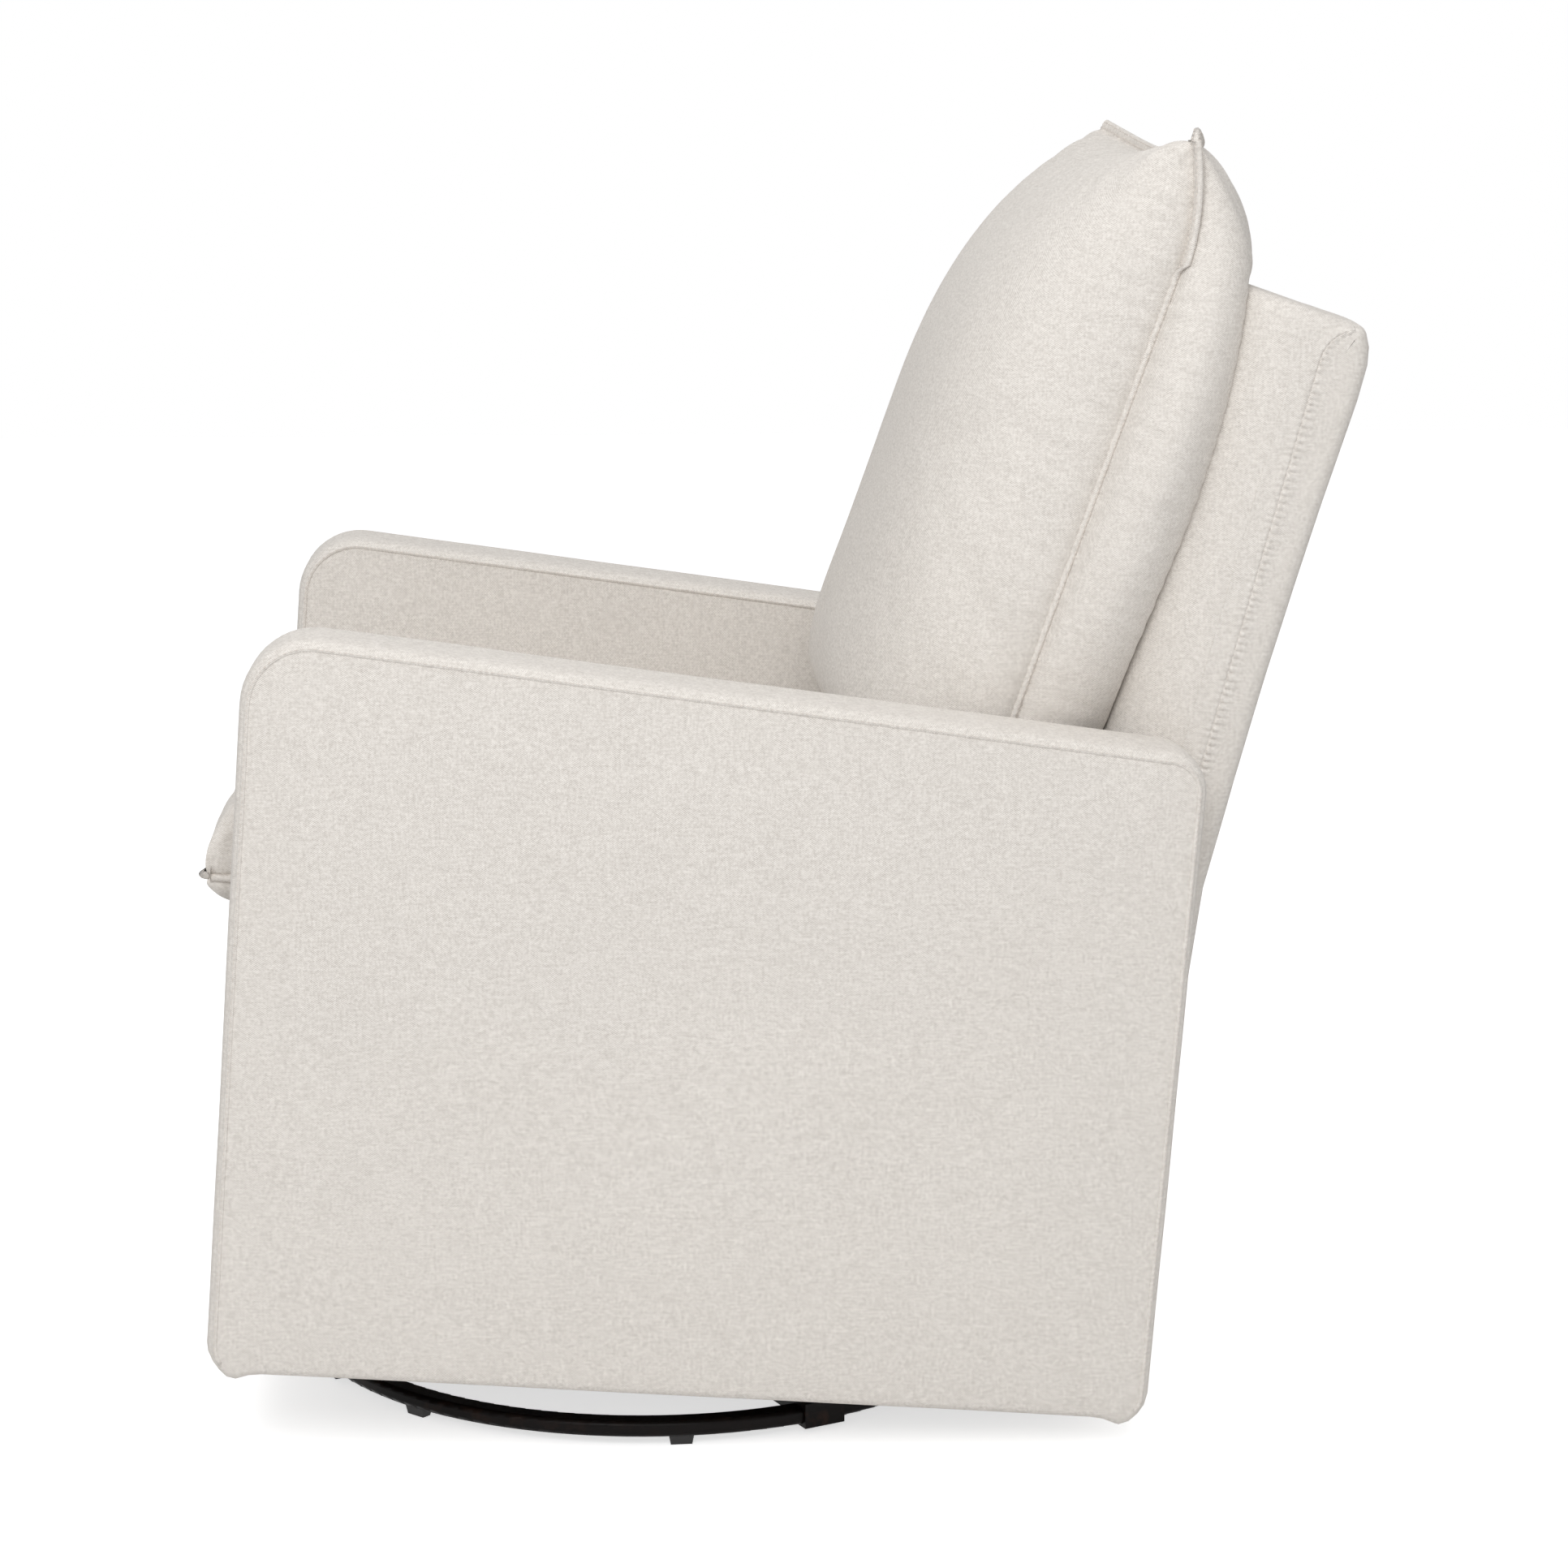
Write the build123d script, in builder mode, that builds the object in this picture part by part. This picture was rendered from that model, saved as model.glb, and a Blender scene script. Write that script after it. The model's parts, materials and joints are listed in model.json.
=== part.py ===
from build123d import *
import os
from math import cos, radians, sin, sqrt, tan

# A padded armchair that swivels on a steel floor ring and glides on four hanging links.
# Millimetres, +Z up, the chair faces -Y and the sitter's left is +X.
# The origin is the middle of the chair's footprint, on the floor.

os.makedirs("parts", exist_ok=True)

# Stance, in degrees
body_tilt = 4.3
base_turn = 25.5
glide_limit = 22.0

# Clearances
running_gap = 0.05
fixing_gap = 0.05
soft_gap = 0.3

# Floor ring and feet
ring_radius = 303.0
ring_width = 20.0
ring_height = 13.0
ring_corner = 4.0
ring_wall = 1.5
foot_height = 8.0
foot_length = 20.0
foot_width = 11.0
foot_taper = 10.0
foot_spread = 22.5

# Cross and the sleeves that hold it to the ring
bar_count = 4
bar_width = 36.0
bar_depth = 14.0
bar_wall = 2.5
saddle_wall = 2.5
saddle_gap = 0.15

# Swivel bearing
post_radius = 10.0
post_head_radius = 14.0
post_head_height = 6.0
race_radius = 70.0
race_thickness = 7.0
ball_radius = 4.0
ball_circle = 55.0
ball_count = 16
ball_seat = 1.5
washer_radius = 18.0
washer_thickness = 2.0
thread_radius = 8.0
nut_radius = 13.0
nut_height = 8.0
lift_gap = 0.2

# Carriage and links
plate_thickness = 5.0
plate_depth = 150.0
race_bolt_circle = 32.0
race_bolt_radius = 3.0
race_bolt_count = 4
race_bolt_turn = 45.0
bolt_head_height = 4.0
hanger_x = 180.0
hanger_wall = 4.0
hanger_foot = 90.0
hanger_neck = 50.0
pivot_span = 220.0
pivot_rise = 28.0
link_length = 120.0
link_eye = 16.0
link_wall = 6.0
link_play = 2.5
bearing_radius = 11.0
pin_radius = 5.0
pin_head_radius = 8.0
pin_head_height = 4.0
pin_nut_height = 4.5
bumper_radius = 6.5
bumper_gap = 0.7
bumper_drop = 73.0

# Steel seat rails
rail_wall = 4.0
rail_play = 7.5
rail_skirt = 18.0
rail_overhang = 30.0
rail_hole_radius = 32.0
rail_bolt_radius = 3.0
rail_bolt_head = 5.5
rail_bolt_depth = 30.0
rail_bolt_pitch = 70.0
rail_bolt_count = 4
flange_lap = 9.0
seat_clearance = 8.0

# Wooden seat frame, springs and deck
wood = 22.0
frame_height = 110.0
front_board_drop = 16.0
block_leg = 60.0
block_height = 50.0
block_set = 20.0
spring_count = 5
spring_pitch = 80.0
spring_wire = 1.8
spring_loop = 44.0
spring_step = 28.0
spring_bend = 12.0
spring_bend_limit = 0.45
spring_lift = 5.0
clip_width = 16.0
clip_depth = 12.0
clip_height = 8.0
deck_thickness = 25.0
dust_thickness = 1.2
dust_margin = 4.0

# Arms
arm_pitch = 605.0
arm_thickness = 80.0
arm_front = -361.0
arm_length = 740.0
arm_bottom = 59.5
arm_front_height = 580.5
arm_rear_height = 531.5
arm_front_round = 57.0
arm_rear_round = 29.0
arm_foot_round = 16.0
arm_edge_round = 8.0
arm_board = 18.0
arm_padding = 22.0
arm_bolt_radius = 4.0
arm_bolt_head = 7.0
arm_bolt_rise = 55.0
arm_bolt_pitch = 180.0
arm_bolt_count = 3
arm_bolt_bite = 12.0

# Front panel
border_recess = 8.0
border_thickness = 18.0
panel_lift = 6.0
border_round = 5.0

# Back, measured along and across its leaning rear face from the knee of that face
knee_depth = 394.0
knee_height = 471.0
back_lean = 10.8
back_length = 456.0
back_top_rise = 7.0
back_thickness = 100.0
back_edge_round = 10.0
shell_thickness = 27.0
shell_foot_depth = 372.0
back_post_width = 40.0
back_post_depth = 40.0
back_post_rise = 5.0
back_post_drop = 26.0
back_rail_height = 40.0
back_low_rail_at = 10.0
strap_count = 4
strap_first = 90.0
strap_pitch = 80.0
strap_width = 50.0
strap_thickness = 3.0
back_bolt_low = 35.0
back_bolt_pitch = 45.0

# Seat cushion
cushion_overhang = 29.0
cushion_side_gap = 3.0
cushion_rear_gap = 6.0
cushion_lower = 62.0
cushion_upper = 70.0
cushion_draw = 8.0
foam_margin = 50.0
foam_height = 92.0
foam_skin = 6.0
foam_corner = 40.0

# Back pillow
pillow_width = 504.0
pillow_height = 552.0
pillow_lean = 15.3
pillow_lift = 8.0
pillow_front = 155.0
pillow_rear = 62.0
pillow_sink = 54.5
pillow_draw = 14.0
fill_share = 0.86

# Knife edge and crown of the cushion and the pillow
flange_width = 9.0
flange_thickness = 5.0
ear_round = 7.0
crown_power = 3.0
crown_corner_share = 0.8
crown_swell = 1.3
base_ease = 0.8
crown_levels = (0.0, 0.35, 0.62, 0.82, 0.94, 0.985)
base_levels = ((0.0, 1.0), (0.4, 0.99), (0.75, 0.965), (1.0, 0.91))

# Heights of the mechanism above the floor
ring_top = foot_height + ring_height
saddle_top = ring_top + saddle_wall
cross_top = saddle_top + bar_wall
ball_height = cross_top + race_thickness - ball_seat + ball_radius
upper_race_bottom = ball_height + ball_radius - ball_seat
plate_bottom = upper_race_bottom + race_thickness
plate_top = plate_bottom + plate_thickness
lower_pivot = plate_top + pivot_rise
upper_pivot = lower_pivot + link_length
hanger_top = upper_pivot + link_eye

# Distances of the mechanism from the chair's middle
hanger_outer = hanger_x + hanger_wall
link_inner = hanger_outer + link_play
link_outer = link_inner + link_wall
rail_inner = link_outer + rail_play
rail_outer = rail_inner + rail_wall

# The body leans back, so depth and height along it differ from those in the room
tilt = radians(body_tilt)
lean = radians(back_lean)
half_span = pivot_span / 2
inner_half = (arm_pitch - arm_thickness) / 2
frame_bottom = (hanger_top + seat_clearance) * cos(tilt) + (half_span + link_eye) * sin(tilt) + rail_wall
frame_top = frame_bottom + frame_height
clip_top = frame_top + clip_height
deck_bottom = clip_top + soft_gap
deck_top = deck_bottom + deck_thickness
cushion_bottom = deck_top + soft_gap
cushion_seam = cushion_bottom + cushion_lower
cushion_top = cushion_seam + cushion_upper
panel_bottom = arm_bottom + panel_lift
frame_front = arm_front + border_recess + border_thickness
frame_inner = inner_half - wood
arm_rear = arm_front + arm_length


def back_point(along, across):
    """Depth and height of a point on the back; across is positive behind the rear face."""
    depth = knee_depth + along * sin(lean) + across * cos(lean)
    height = knee_height + along * cos(lean) - across * sin(lean)
    return depth, height


def back_front_depth(height):
    """Depth of the back's padded front face at a height along the body."""
    depth, start = back_point(0, -back_thickness)
    return depth + (height - start) * tan(lean)


def shell_front_depth(height):
    """Depth of the rear panel's inner face at a height below its knee."""
    depth, top = back_point(0, -shell_thickness)
    foot = shell_foot_depth - shell_thickness
    return foot + (depth - foot) * (height - panel_bottom) / (top - panel_bottom)


post_foot = frame_bottom + back_post_rise
post_foot_rear = shell_front_depth(post_foot)
frame_rear = post_foot_rear - back_post_depth
side_rail_rear = shell_front_depth(frame_bottom) - soft_gap
cushion_front = arm_front - cushion_overhang
cushion_rear = back_front_depth(cushion_seam) - cushion_rear_gap

# The swivel axis stands where the footprint is centred on the origin
front_reach = cushion_front * cos(tilt) + cushion_seam * sin(tilt)
top_depth, top_height = back_point(back_length, 0)
rear_reach = top_depth * cos(tilt) + top_height * sin(tilt)
swivel_y = -(front_reach + rear_reach) / 2

SIDES = (("left", 1), ("right", -1))
ENDS = (("front", -1), ("rear", 1))
FLOOR = (Align.CENTER, Align.CENTER, Align.MIN)
CEILING = (Align.CENTER, Align.CENTER, Align.MAX)


def level(height):
    """Flat plane on the swivel axis."""
    return Plane(origin=(0, swivel_y, height))


def upright(x):
    """Plane across the chair, with depth and height in the room; its normal is +X."""
    return Plane(origin=(x, swivel_y, 0), x_dir=(0, 1, 0), z_dir=(1, 0, 0))


def body_upright(x):
    """Plane across the chair, with depth and height along the tilted body."""
    return Plane(origin=(x, swivel_y, 0), x_dir=(0, cos(tilt), -sin(tilt)), z_dir=(1, 0, 0))


def in_room(depth, height):
    """Point of the chair's middle plane, from depth and height along the tilted body."""
    y = swivel_y + depth * cos(tilt) + height * sin(tilt)
    return 0, y, height * cos(tilt) - depth * sin(tilt)


def body_level(height, depth=0.0):
    """Plane along the tilted body; its normal is the body's own upward direction."""
    return Plane(origin=in_room(depth, height), x_dir=(1, 0, 0), z_dir=(0, sin(tilt), cos(tilt)))


def leaning(depth, height, angle):
    """Plane that leans back from the body by an angle in degrees and faces the sitter."""
    total = tilt + radians(angle)
    return Plane(origin=in_room(depth, height), x_dir=(1, 0, 0), z_dir=(0, -cos(total), sin(total)))


def between(sign, inner, outer):
    """First distance along X of a plate that lies between two distances from the middle."""
    return min(sign * inner, sign * outer)


def keep(piece, name):
    """Label a finished piece and write it as its own file."""
    piece.part.label = name
    export_step(piece.part, "parts/" + name + ".step")


def pins_along_x(sign, plane, places, start, end, radius):
    """Round bars along X between two distances from the middle, at places on a side plane."""
    with BuildSketch(plane(between(sign, start, end))) as profile:
        with Locations(*places):
            Circle(radius)
    extrude(profile.sketch, amount=end - start)


def holes_along_x(sign, plane, places, start, end, radius):
    """Round holes along X between two distances from the middle."""
    with BuildSketch(plane(between(sign, start, end))) as profile:
        with Locations(*places):
            Circle(radius)
    extrude(profile.sketch, amount=end - start, mode=Mode.SUBTRACT)


def nuts_along_x(sign, plane, places, start, end, radius, bore):
    """Hexagon nuts along X with a round bore."""
    with BuildSketch(plane(between(sign, start, end))) as profile:
        with Locations(*places):
            RegularPolygon(radius, 6)
            Circle(bore, mode=Mode.SUBTRACT)
    extrude(profile.sketch, amount=end - start)


def bowed_outline(half_width, half_height, bow, corner):
    """Four bowed sides and four round corners; a negative bow draws the sides in."""
    w, h, r = half_width, half_height, corner
    k = r * (1 - sqrt(0.5))
    with BuildLine() as edge:
        ThreePointArc((w, r - h), (w + bow, 0), (w, h - r))
        ThreePointArc((w, h - r), (w - k, h - k), (w - r, h))
        ThreePointArc((w - r, h), (0, h + bow), (r - w, h))
        ThreePointArc((r - w, h), (k - w, h - k), (-w, h - r))
        ThreePointArc((-w, h - r), (-w - bow, 0), (-w, r - h))
        ThreePointArc((-w, r - h), (k - w, k - h), (r - w, -h))
        ThreePointArc((r - w, -h), (0, -h - bow), (w - r, -h))
        ThreePointArc((w - r, -h), (w - k, k - h), (w, r - h))
    make_face(edge.edges())


def crown(plane, half_width, half_height, height, draw):
    """Half of a stuffed form, from its seam to its crown; its sides round out as it rises."""
    sections = []
    for share in crown_levels:
        scale = (1 - share**crown_power) ** (1 / crown_power)
        with BuildSketch(plane.offset(share * height)) as section:
            top_corner = crown_corner_share * scale * min(half_width, half_height)
            corner = ear_round + share * (top_corner - ear_round)
            bow = draw * (crown_swell * share - 1)
            bowed_outline(half_width * scale, half_height * scale, bow, corner)
        sections.append(section.sketch)
    loft(sections)


# Floor ring, a hollow rounded tube
with BuildPart(level(0)) as base_ring:
    with BuildSketch(Plane(origin=(0, swivel_y, 0), x_dir=(1, 0, 0), z_dir=(0, -1, 0))):
        with Locations((ring_radius - ring_width / 2, foot_height + ring_height / 2)):
            RectangleRounded(ring_width, ring_height, ring_corner)
            RectangleRounded(
                ring_width - 2 * ring_wall,
                ring_height - 2 * ring_wall,
                ring_corner - ring_wall,
                mode=Mode.SUBTRACT,
            )
    revolve(axis=Axis((0, swivel_y, 0), (0, 0, 1)))
keep(base_ring, "base_ring")

# Sleeves round the ring at the four ends of the cross
saddle_inner = ring_radius - ring_width - saddle_wall
saddle_reach = ring_width + 2 * saddle_wall
saddle_middle = saddle_inner + saddle_reach / 2
with BuildPart(level(foot_height - saddle_wall)) as ring_saddles:
    with PolarLocations(saddle_middle, bar_count, start_angle=base_turn):
        Box(saddle_reach, bar_width, ring_height + 2 * saddle_wall, align=FLOOR)
    with BuildSketch(Plane(origin=(0, swivel_y, 0), x_dir=(1, 0, 0), z_dir=(0, -1, 0))):
        with Locations((ring_radius - ring_width / 2, foot_height + ring_height / 2)):
            RectangleRounded(
                ring_width + 2 * saddle_gap,
                ring_height + 2 * saddle_gap,
                ring_corner + saddle_gap,
            )
    revolve(axis=Axis((0, swivel_y, 0), (0, 0, 1)), mode=Mode.SUBTRACT)
keep(ring_saddles, "ring_saddles")

# Pressed cross: channels open below, with flat tabs that lie on the sleeves
bar_reach = 2 * (saddle_inner + saddle_reach)
with BuildPart(level(cross_top)) as base_cross:
    with BuildSketch(level(cross_top)):
        with PolarLocations(0, 2, start_angle=base_turn, angular_range=180):
            Rectangle(bar_reach, bar_width)
    extrude(amount=-bar_depth)
    with BuildSketch(level(cross_top - bar_wall)):
        with PolarLocations(0, 2, start_angle=base_turn, angular_range=180):
            Rectangle(bar_reach, bar_width - 2 * bar_wall)
    extrude(amount=-bar_depth, mode=Mode.SUBTRACT)
    with PolarLocations(saddle_middle, bar_count, start_angle=base_turn):
        with Locations((0, 0, -bar_wall)):
            Box(saddle_reach, bar_width, bar_depth, align=CEILING, mode=Mode.SUBTRACT)
    Cylinder(post_radius + fixing_gap, 4 * bar_wall, mode=Mode.SUBTRACT)
keep(base_cross, "base_cross")

# Feet under the ring, a pair beside each bar
with BuildPart(level(foot_height)) as base_feet:
    for side in (-1, 1):
        with BuildSketch(level(foot_height)):
            with PolarLocations(
                ring_radius - ring_width / 2, bar_count, start_angle=base_turn + side * foot_spread
            ):
                Rectangle(foot_width, foot_length)
        extrude(amount=-foot_height, taper=foot_taper)
keep(base_feet, "base_feet")

# Swivel post with a head under the cross and a thread for its lock nut
post_length = plate_top + lift_gap - (cross_top - bar_wall)
with BuildPart(level(cross_top - bar_wall)) as swivel_post:
    Cylinder(post_head_radius, post_head_height, align=CEILING)
    Cylinder(post_radius, post_length, align=FLOOR)
    Cylinder(thread_radius, post_length + washer_thickness + nut_height + bar_wall, align=FLOOR)
keep(swivel_post, "swivel_post")

# Bearing races with a ball groove each
with BuildPart(level(cross_top)) as lower_race:
    Cylinder(race_radius, race_thickness, align=FLOOR)
    Cylinder(post_radius + fixing_gap, 3 * race_thickness, mode=Mode.SUBTRACT)
    with Locations((0, 0, ball_height - cross_top)):
        Torus(ball_circle, ball_radius + running_gap, mode=Mode.SUBTRACT)
keep(lower_race, "lower_race")

with BuildPart(level(ball_height)) as swivel_balls:
    with PolarLocations(ball_circle, ball_count):
        Sphere(ball_radius)
keep(swivel_balls, "swivel_balls")

with BuildPart(level(upper_race_bottom)) as upper_race:
    Cylinder(race_radius, race_thickness, align=FLOOR)
    Cylinder(post_radius + running_gap, 3 * race_thickness, mode=Mode.SUBTRACT)
    with Locations((0, 0, ball_height - upper_race_bottom)):
        Torus(ball_circle, ball_radius + running_gap, mode=Mode.SUBTRACT)
    with PolarLocations(race_bolt_circle, race_bolt_count, start_angle=race_bolt_turn):
        Cylinder(race_bolt_radius + fixing_gap, 3 * race_thickness, mode=Mode.SUBTRACT)
keep(upper_race, "upper_race")

with BuildPart(level(plate_top + lift_gap)) as swivel_washer:
    Cylinder(washer_radius, washer_thickness, align=FLOOR)
    Cylinder(thread_radius + fixing_gap, 3 * washer_thickness, mode=Mode.SUBTRACT)
keep(swivel_washer, "swivel_washer")

with BuildPart(level(plate_top + lift_gap + washer_thickness)) as swivel_nut:
    with BuildSketch(level(plate_top + lift_gap + washer_thickness)):
        RegularPolygon(nut_radius, 6)
        Circle(thread_radius + fixing_gap, mode=Mode.SUBTRACT)
    extrude(amount=nut_height)
keep(swivel_nut, "swivel_nut")

# Carriage plate on the turning race
with BuildPart(level(plate_bottom)) as carriage_plate:
    Box(2 * hanger_outer, plate_depth, plate_thickness, align=FLOOR)
    Cylinder(post_radius + running_gap, 3 * plate_thickness, mode=Mode.SUBTRACT)
    with PolarLocations(race_bolt_circle, race_bolt_count, start_angle=race_bolt_turn):
        Cylinder(race_bolt_radius + fixing_gap, 3 * plate_thickness, mode=Mode.SUBTRACT)
    fillet(carriage_plate.edges().filter_by(Axis.Z).group_by(SortBy.LENGTH)[-1], ring_corner)
keep(carriage_plate, "carriage_plate")

with BuildPart(level(plate_top)) as race_bolts:
    with BuildSketch(level(plate_top)):
        with PolarLocations(race_bolt_circle, race_bolt_count, start_angle=race_bolt_turn):
            RegularPolygon(2 * race_bolt_radius, 6)
    extrude(amount=bolt_head_height)
    with BuildSketch(level(plate_top)):
        with PolarLocations(race_bolt_circle, race_bolt_count, start_angle=race_bolt_turn):
            Circle(race_bolt_radius)
    extrude(amount=-(plate_thickness + race_thickness))
keep(race_bolts, "race_bolts")

# Hangers: upright brackets that spread to the two upper pivots
upper_places = [(-half_span, upper_pivot), (half_span, upper_pivot)]
lower_places = [(-half_span, lower_pivot), (half_span, lower_pivot)]
swing = radians(glide_limit)
bumper_height = upper_pivot - bumper_drop
bumper_depth = half_span - bumper_drop * tan(swing) - link_eye / cos(swing) - bumper_radius - bumper_gap
bumper_places = [(-bumper_depth, bumper_height), (bumper_depth, bumper_height)]
for side, sign in SIDES:
    with BuildPart() as hanger:
        with BuildSketch(upright(between(sign, hanger_x, hanger_outer))):
            with BuildLine():
                Polyline(
                    (-hanger_foot / 2, plate_top),
                    (hanger_foot / 2, plate_top),
                    (hanger_foot / 2, plate_top + hanger_neck),
                    (bumper_depth + bumper_radius, bumper_height - bumper_radius),
                    (half_span + link_eye, upper_pivot - link_eye),
                    (half_span + link_eye, hanger_top),
                    (-half_span - link_eye, hanger_top),
                    (-half_span - link_eye, upper_pivot - link_eye),
                    (-bumper_depth - bumper_radius, bumper_height - bumper_radius),
                    (-hanger_foot / 2, plate_top + hanger_neck),
                    close=True,
                )
            make_face()
        extrude(amount=hanger_wall)
        holes_along_x(sign, upright, upper_places, hanger_x, hanger_outer, pin_radius + fixing_gap)
    keep(hanger, "hanger_" + side)

with BuildPart() as upper_pivot_pins:
    for side, sign in SIDES:
        head_end = hanger_x - pin_head_height
        pins_along_x(sign, upright, upper_places, head_end, hanger_x, pin_head_radius)
        tip = link_outer + soft_gap + pin_nut_height
        pins_along_x(sign, upright, upper_places, hanger_x, tip, pin_radius)
keep(upper_pivot_pins, "upper_pivot_pins")

with BuildPart() as upper_pivot_nuts:
    for side, sign in SIDES:
        start = link_outer + soft_gap
        end = start + pin_nut_height
        nuts_along_x(sign, upright, upper_places, start, end, pin_head_radius, pin_radius + fixing_gap)
keep(upper_pivot_nuts, "upper_pivot_nuts")

with BuildPart() as glide_bumpers:
    for side, sign in SIDES:
        pins_along_x(sign, upright, bumper_places, hanger_outer, link_outer, bumper_radius)
keep(glide_bumpers, "glide_bumpers")

# Links hang from the upper pivots, with a bearing in each eye
for end, toward in ENDS:
    pivots = [(toward * half_span, upper_pivot), (toward * half_span, lower_pivot)]
    for side, sign in SIDES:
        with BuildPart() as link:
            with BuildSketch(upright(between(sign, link_inner, link_outer))):
                with Locations((toward * half_span, (upper_pivot + lower_pivot) / 2)):
                    SlotCenterToCenter(link_length, 2 * link_eye, rotation=90)
            extrude(amount=link_wall)
            holes_along_x(sign, upright, pivots, link_inner, link_outer, bearing_radius + fixing_gap)
        keep(link, "link_" + end + "_" + side)
    with BuildPart() as link_bearings:
        for side, sign in SIDES:
            pins_along_x(sign, upright, pivots, link_inner, link_outer, bearing_radius)
            holes_along_x(sign, upright, pivots, link_inner, link_outer, pin_radius + running_gap)
    keep(link_bearings, end + "_link_bearings")

# Steel rails: level pivots below, a flange along the tilted frame above
rail_end = half_span + rail_overhang
flange_outer = inner_half - wood / 2 + flange_lap
rail_bolt_x = inner_half - wood / 2
flange_under = frame_bottom - rail_wall


def under_flange(depth):
    """Height in the room of the flange's underside at a depth in the room."""
    return (flange_under - depth * sin(tilt)) / cos(tilt)


rail_hole_height = (lower_pivot + under_flange(0)) / 2
rail_hole_pitch = pivot_span / 3
rail_holes = [(place * rail_hole_pitch, rail_hole_height) for place in (-1, 0, 1)]
for side, sign in SIDES:
    with BuildPart() as seat_rail:
        with BuildSketch(upright(between(sign, rail_inner, rail_outer))):
            with BuildLine():
                Polyline(
                    (-rail_end, lower_pivot - rail_skirt),
                    (rail_end, lower_pivot - rail_skirt),
                    (rail_end, under_flange(rail_end)),
                    (-rail_end, under_flange(-rail_end)),
                    close=True,
                )
            make_face()
        extrude(amount=rail_wall)
        holes_along_x(sign, upright, rail_holes, rail_inner, rail_outer, rail_hole_radius)
        holes_along_x(sign, upright, lower_places, rail_inner, rail_outer, pin_radius + fixing_gap)
        with BuildSketch(body_upright(between(sign, rail_inner, flange_outer))):
            with Locations((-flange_under * tan(tilt), frame_bottom - rail_wall / 2)):
                Rectangle(2 * rail_end / cos(tilt), rail_wall)
        extrude(amount=flange_outer - rail_inner)
        with BuildSketch(body_level(flange_under)):
            with Locations((sign * rail_bolt_x, 0)):
                with GridLocations(1, rail_bolt_pitch, 1, rail_bolt_count):
                    Circle(rail_bolt_radius + fixing_gap)
        extrude(amount=rail_wall, mode=Mode.SUBTRACT)
    keep(seat_rail, "seat_rail_" + side)

with BuildPart() as lower_pivot_pins:
    for side, sign in SIDES:
        shoulder = link_inner - soft_gap
        pins_along_x(sign, upright, lower_places, shoulder - pin_head_height, shoulder, pin_head_radius)
        pins_along_x(sign, upright, lower_places, shoulder, rail_outer + pin_nut_height, pin_radius)
keep(lower_pivot_pins, "lower_pivot_pins")

with BuildPart() as lower_pivot_nuts:
    for side, sign in SIDES:
        end = rail_outer + pin_nut_height
        nuts_along_x(sign, upright, lower_places, rail_outer, end, pin_head_radius, pin_radius + fixing_gap)
keep(lower_pivot_nuts, "lower_pivot_nuts")

with BuildPart() as pivot_spacers:
    for side, sign in SIDES:
        start = link_outer + soft_gap
        pins_along_x(sign, upright, lower_places, start, rail_inner, pin_head_radius)
        holes_along_x(sign, upright, lower_places, start, rail_inner, pin_radius + fixing_gap)
keep(pivot_spacers, "pivot_spacers")

with BuildPart() as rail_bolts:
    for side, sign in SIDES:
        with BuildSketch(body_level(flange_under)):
            with Locations((sign * rail_bolt_x, 0)):
                with GridLocations(1, rail_bolt_pitch, 1, rail_bolt_count):
                    RegularPolygon(rail_bolt_head, 6)
        extrude(amount=-bolt_head_height)
        with BuildSketch(body_level(flange_under)):
            with Locations((sign * rail_bolt_x, 0)):
                with GridLocations(1, rail_bolt_pitch, 1, rail_bolt_count):
                    Circle(rail_bolt_radius)
        extrude(amount=rail_wall + rail_bolt_depth)
keep(rail_bolts, "rail_bolts")

# Wooden seat frame
arm_bolt_height = frame_bottom + arm_bolt_rise
arm_bolt_places = [
    ((place - (arm_bolt_count - 1) / 2) * arm_bolt_pitch, arm_bolt_height) for place in range(arm_bolt_count)
]
back_bolt_depth = post_foot_rear - back_post_depth / 2
back_bolt_places = [
    (back_bolt_depth, frame_bottom + back_bolt_low + place * back_bolt_pitch) for place in range(2)
]
for side, sign in SIDES:
    with BuildPart() as side_rail:
        with BuildSketch(body_upright(between(sign, frame_inner, inner_half))):
            with Locations(((frame_front + side_rail_rear) / 2, frame_bottom + frame_height / 2)):
                Rectangle(side_rail_rear - frame_front, frame_height)
        extrude(amount=wood)
        bolt_hole = arm_bolt_radius + fixing_gap
        holes_along_x(sign, body_upright, arm_bolt_places, frame_inner, inner_half, bolt_hole)
        holes_along_x(sign, body_upright, back_bolt_places, frame_inner, inner_half, bolt_hole)
        with BuildSketch(body_level(frame_bottom)):
            with Locations((sign * rail_bolt_x, 0)):
                with GridLocations(1, rail_bolt_pitch, 1, rail_bolt_count):
                    Circle(rail_bolt_radius + fixing_gap)
        extrude(amount=rail_bolt_depth, mode=Mode.SUBTRACT)
    keep(side_rail, "side_rail_" + side)

front_board_bottom = arm_bottom + front_board_drop
with BuildPart() as front_rail:
    with BuildSketch(body_upright(-frame_inner)):
        with Locations((frame_front + wood / 2, (front_board_bottom + frame_top) / 2)):
            Rectangle(wood, frame_top - front_board_bottom)
    extrude(amount=2 * frame_inner)
keep(front_rail, "front_rail")

with BuildPart() as rear_rail:
    with BuildSketch(body_upright(-frame_inner)):
        with Locations((frame_rear - wood / 2, frame_bottom + frame_height / 2)):
            Rectangle(wood, frame_height)
    extrude(amount=2 * frame_inner)
keep(rear_rail, "rear_rail")

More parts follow.
